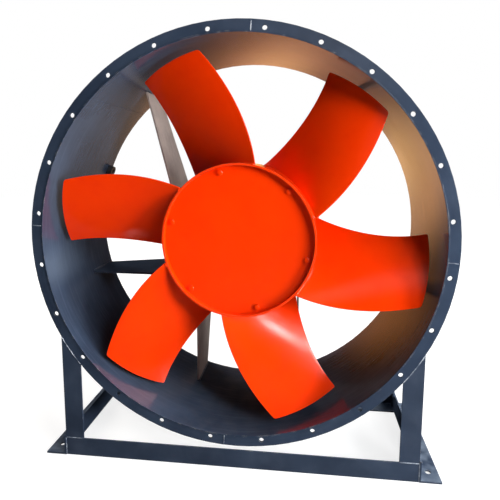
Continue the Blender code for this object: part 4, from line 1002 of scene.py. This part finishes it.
def stage_piece(name, shape):
    """A floor or a cloth: not part of the fan."""
    mesh = bpy.data.meshes.new(name)
    shape.to_mesh(mesh)
    shape.free()
    item = bpy.data.objects.new(name, mesh)
    bpy.context.scene.collection.objects.link(item)
    material = bpy.data.materials.new(name + "_look")
    material.use_nodes = True
    material.node_tree.nodes.remove(material.node_tree.nodes["Principled BSDF"])
    mesh.materials.append(material)
    return item, material.node_tree


def measured(tree, operation, place, by=None):
    """A place after one vector operation, with a fixed vector where it takes one."""
    node = tree.nodes.new("ShaderNodeVectorMath")
    node.operation = operation
    tree.links.new(place, node.inputs[0])
    if by is not None:
        node.inputs[1].default_value = by
    return node.outputs["Value"] if operation == "LENGTH" else node.outputs[0]


def fading(tree, length, near, far, start, end):
    """A node whose value goes from start to end while a length goes from near to far."""
    fade = tree.nodes.new("ShaderNodeMapRange")
    fade.inputs["From Min"].default_value = near
    fade.inputs["From Max"].default_value = far
    fade.inputs["To Min"].default_value = start
    fade.inputs["To Max"].default_value = end
    tree.links.new(length, fade.inputs["Value"])
    return fade


def add_glow(tree, below, strength, colour):
    """A shader with a glow of one colour added to it."""
    glow = tree.nodes.new("ShaderNodeEmission")
    glow.inputs["Color"].default_value = (*colour, 1.0)
    tree.links.new(strength, glow.inputs["Strength"])
    both = tree.nodes.new("ShaderNodeAddShader")
    tree.links.new(below, both.inputs[0])
    tree.links.new(glow.outputs[0], both.inputs[1])
    return both.outputs[0]


def make_floor():
    """A grey floor that glows white to the camera and to gloss, a little less under the fan."""
    shape = bmesh.new()
    bmesh.ops.create_circle(shape, cap_ends=True, segments=96, radius=FLOOR_RADIUS)
    floor, tree = stage_piece("studio_floor", shape)
    floor.location.z = -FLOOR_DROP
    pale = tree.nodes.new("ShaderNodeBsdfDiffuse")
    pale.inputs["Color"].default_value = FLOOR_GREY
    length = measured(tree, "LENGTH", tree.nodes.new("ShaderNodeTexCoord").outputs["Object"])
    fade = fading(tree, length, *FLOOR_FADE)
    mix = tree.nodes.new("ShaderNodeMixShader")
    tree.links.new(any_ray(tree, *EYE_RAYS), mix.inputs["Fac"])
    tree.links.new(pale.outputs[0], mix.inputs[1])
    tree.links.new(add_glow(tree, pale.outputs[0], fade.outputs["Result"], WHITE), mix.inputs[2])
    tree.links.new(mix.outputs[0], tree.nodes["Material Output"].inputs["Surface"])


def make_cloth(name, sheets, reflectors=(), tint=BLACK):
    """A cloth that only gloss sees, dark unless tinted, with soft reflectors on it."""
    shape = bmesh.new()
    for corners in sheets:
        shape.faces.new([shape.verts.new(corner) for corner in corners])
    item, tree = stage_piece(name, shape)
    for ray in ("camera", "diffuse", "shadow", "transmission", "volume_scatter"):
        setattr(item, "visible_" + ray, False)
    place = tree.nodes.new("ShaderNodeTexCoord").outputs["Object"]
    dark = tree.nodes.new("ShaderNodeEmission")
    dark.inputs["Color"].default_value = (*tint, 1.0)
    total = dark.outputs[0]
    for across, up, half_width, half_height, colour in reflectors:
        shift = measured(tree, "SUBTRACT", place, (across, 0.0, up))
        squeeze = measured(tree, "DIVIDE", shift, (half_width, FLAT, half_height))
        fall = fading(tree, measured(tree, "LENGTH", squeeze), 1.0, 0.0, 0.0, 1.0)
        fall.interpolation_type = "SMOOTHSTEP"
        total = add_glow(tree, total, fall.outputs["Result"], colour)
    tree.links.new(total, tree.nodes["Material Output"].inputs["Surface"])


def area_light(name, place, aim, size, power, colour, in_gloss):
    """A square lamp that faces its aim, and is mirrored only where asked."""
    light = bpy.data.lights.new(name, "AREA")
    light.shape = "SQUARE"
    light.size = size
    light.energy = power
    light.color = colour
    item = bpy.data.objects.new(name, light)
    item.location = place
    item.rotation_euler = (aim - place).to_track_quat("-Z", "Y").to_euler()
    item.visible_camera = False
    item.visible_glossy = in_gloss
    bpy.context.scene.collection.objects.link(item)


make_world()
make_floor()

# Cloths about the fan that gloss sees; a reflector has its x, height, half width, half height and colour
BACK_CLOTH_Y = 2.6
BACK_CLOTH_HALF = 3.5
FRONT_CLOTH_Y = -3.5
FRONT_CLOTH_HALF = 4.0
CLOTH_HEIGHT = 4.0
REAR_RUG_X = -0.2
REAR_RUG_Y = 0.45
REAR_RUG_TINT = (0.42, 0.34, 0.28)
RUG_Z = 0.001
CLOTH_GAP = 0.05
FRONT_REFLECTOR = (0.5, 1.8, 1.5, 0.8, (0.8, 0.77, 0.72))
REFLECTORS = {
    "low": (-0.08, 0.08, 0.33, 0.30, (2.7, 1.3, 0.6)),
    "right": (0.20, 0.34, 0.30, 0.31, (3.8, 2.1, 0.85)),
    "middle": (-0.30, 0.56, 0.32, 0.33, (1.5, 0.6, 0.35)),
    "upper": (-0.30, 0.85, 0.29, 0.35, (3.8, 2.1, 0.7)),
    "left": (-0.70, 0.42, 0.50, 0.50, (1.4, 0.5, 0.15)),
    "soft": (0.0, 0.58, 0.34, 0.33, (0.6, 0.25, 0.15)),
    "cool": (1.6, 0.32, 0.29, 0.31, (3.6, 4.3, 5.2)),
}


def upright(half, y):
    """The corners of a standing sheet that faces the fan."""
    return ((-half, y, 0.0), (half, y, 0.0), (half, y, CLOTH_HEIGHT), (-half, y, CLOTH_HEIGHT))


def lying(left, right, near, far):
    """The corners of a sheet on the floor."""
    return ((left, near, RUG_Z), (right, near, RUG_Z), (right, far, RUG_Z), (left, far, RUG_Z))


def ceiling(half):
    """The corners of a sheet over the fan."""
    return ((-half, FRONT_CLOTH_Y, CLOTH_HEIGHT), (half, FRONT_CLOTH_Y, CLOTH_HEIGHT),
            (half, BACK_CLOTH_Y, CLOTH_HEIGHT), (-half, BACK_CLOTH_Y, CLOTH_HEIGHT))


def flank(x):
    """The corners of a standing sheet beside the fan."""
    return ((x, FRONT_CLOTH_Y, 0.0), (x, BACK_CLOTH_Y, 0.0), (x, BACK_CLOTH_Y, CLOTH_HEIGHT),
            (x, FRONT_CLOTH_Y, CLOTH_HEIGHT))


make_cloth("back_cloth", (upright(BACK_CLOTH_HALF, BACK_CLOTH_Y),), REFLECTORS.values())
make_cloth("front_cloth", (upright(FRONT_CLOTH_HALF, FRONT_CLOTH_Y),
                           lying(-FRONT_CLOTH_HALF, FRONT_CLOTH_HALF, FRONT_CLOTH_Y, REAR_RUG_Y),
                           lying(-FRONT_CLOTH_HALF, REAR_RUG_X, REAR_RUG_Y, BACK_CLOTH_Y),
                           flank(-FRONT_CLOTH_HALF), flank(FRONT_CLOTH_HALF), ceiling(FRONT_CLOTH_HALF)))
make_cloth("front_reflector", (upright(FRONT_CLOTH_HALF, FRONT_CLOTH_Y + CLOTH_GAP),), (FRONT_REFLECTOR,))
REAR_RUG = lying(REAR_RUG_X, FRONT_CLOTH_HALF, REAR_RUG_Y, BACK_CLOTH_Y)
make_cloth("rear_rug", (REAR_RUG,), tint=REAR_RUG_TINT)

# Lamps on a sphere about the fan: degrees right of the front, degrees up, size, power, colour, in gloss
FAN_MIDDLE = Vector((0.0, -0.15, AXIS_Z))
LAMP_DISTANCE = 3.0
LAMPS = {
    "key": (63.0, 3.0, 0.9, 88.0, WHITE, True),
    "key_core": (47.0, 14.0, 0.22, 10.0, WHITE, True),
    "high": (45.0, 30.0, 0.9, 40.0, WHITE, True),
    "side": (84.0, 3.0, 0.9, 145.0, (0.94, 0.98, 1.0), True),
    "side_high": (80.0, 22.0, 0.9, 30.0, WHITE, False),
    "left": (-88.0, 14.0, 1.2, 22.0, (1.0, 0.98, 0.96), False),
    "rear_left": (-128.0, 24.0, 1.2, 56.0, (1.0, 0.92, 0.84), False),
    "rear_right": (150.0, 40.0, 1.2, 20.0, (1.0, 0.97, 0.94), False),
}
for name, (around, up, size, power, colour, in_gloss) in LAMPS.items():
    around, up = math.radians(around), math.radians(up)
    way = Vector((math.sin(around) * math.cos(up), -math.cos(around) * math.cos(up), math.sin(up)))
    area_light(name, FAN_MIDDLE + LAMP_DISTANCE * way, FAN_MIDDLE, size, power, colour, in_gloss)

# Camera at the photograph's place and angle, with its lens and sensor in millimetres
CAMERA_PLACE = (0.1603015, -1.2811902, 0.7959608)
CAMERA_RIGHT = (0.99487564, 0.10085118, 0.00717585)
CAMERA_UP = (-0.01866974, 0.11349248, 0.99336343)
CAMERA_AHEAD = (-0.09936747, 0.98840705, -0.11479377)
CAMERA_SENSOR = 36.0
CAMERA_LENS = 30.2005
CAMERA_SHIFT_X = -0.02074
CAMERA_SHIFT_Y = -0.08218
camera_data = bpy.data.cameras.new("photo_camera")
camera_data.sensor_width = CAMERA_SENSOR
camera_data.lens = CAMERA_LENS
camera_data.shift_x = CAMERA_SHIFT_X
camera_data.shift_y = CAMERA_SHIFT_Y
camera = bpy.data.objects.new("photo_camera", camera_data)
bpy.context.scene.collection.objects.link(camera)
turn = Matrix((CAMERA_RIGHT, CAMERA_UP, -Vector(CAMERA_AHEAD))).transposed().to_4x4()
camera.matrix_world = Matrix.Translation(CAMERA_PLACE) @ turn
bpy.context.scene.camera = camera
bpy.context.scene.view_settings.view_transform = "Standard"

bpy.context.view_layer.update()
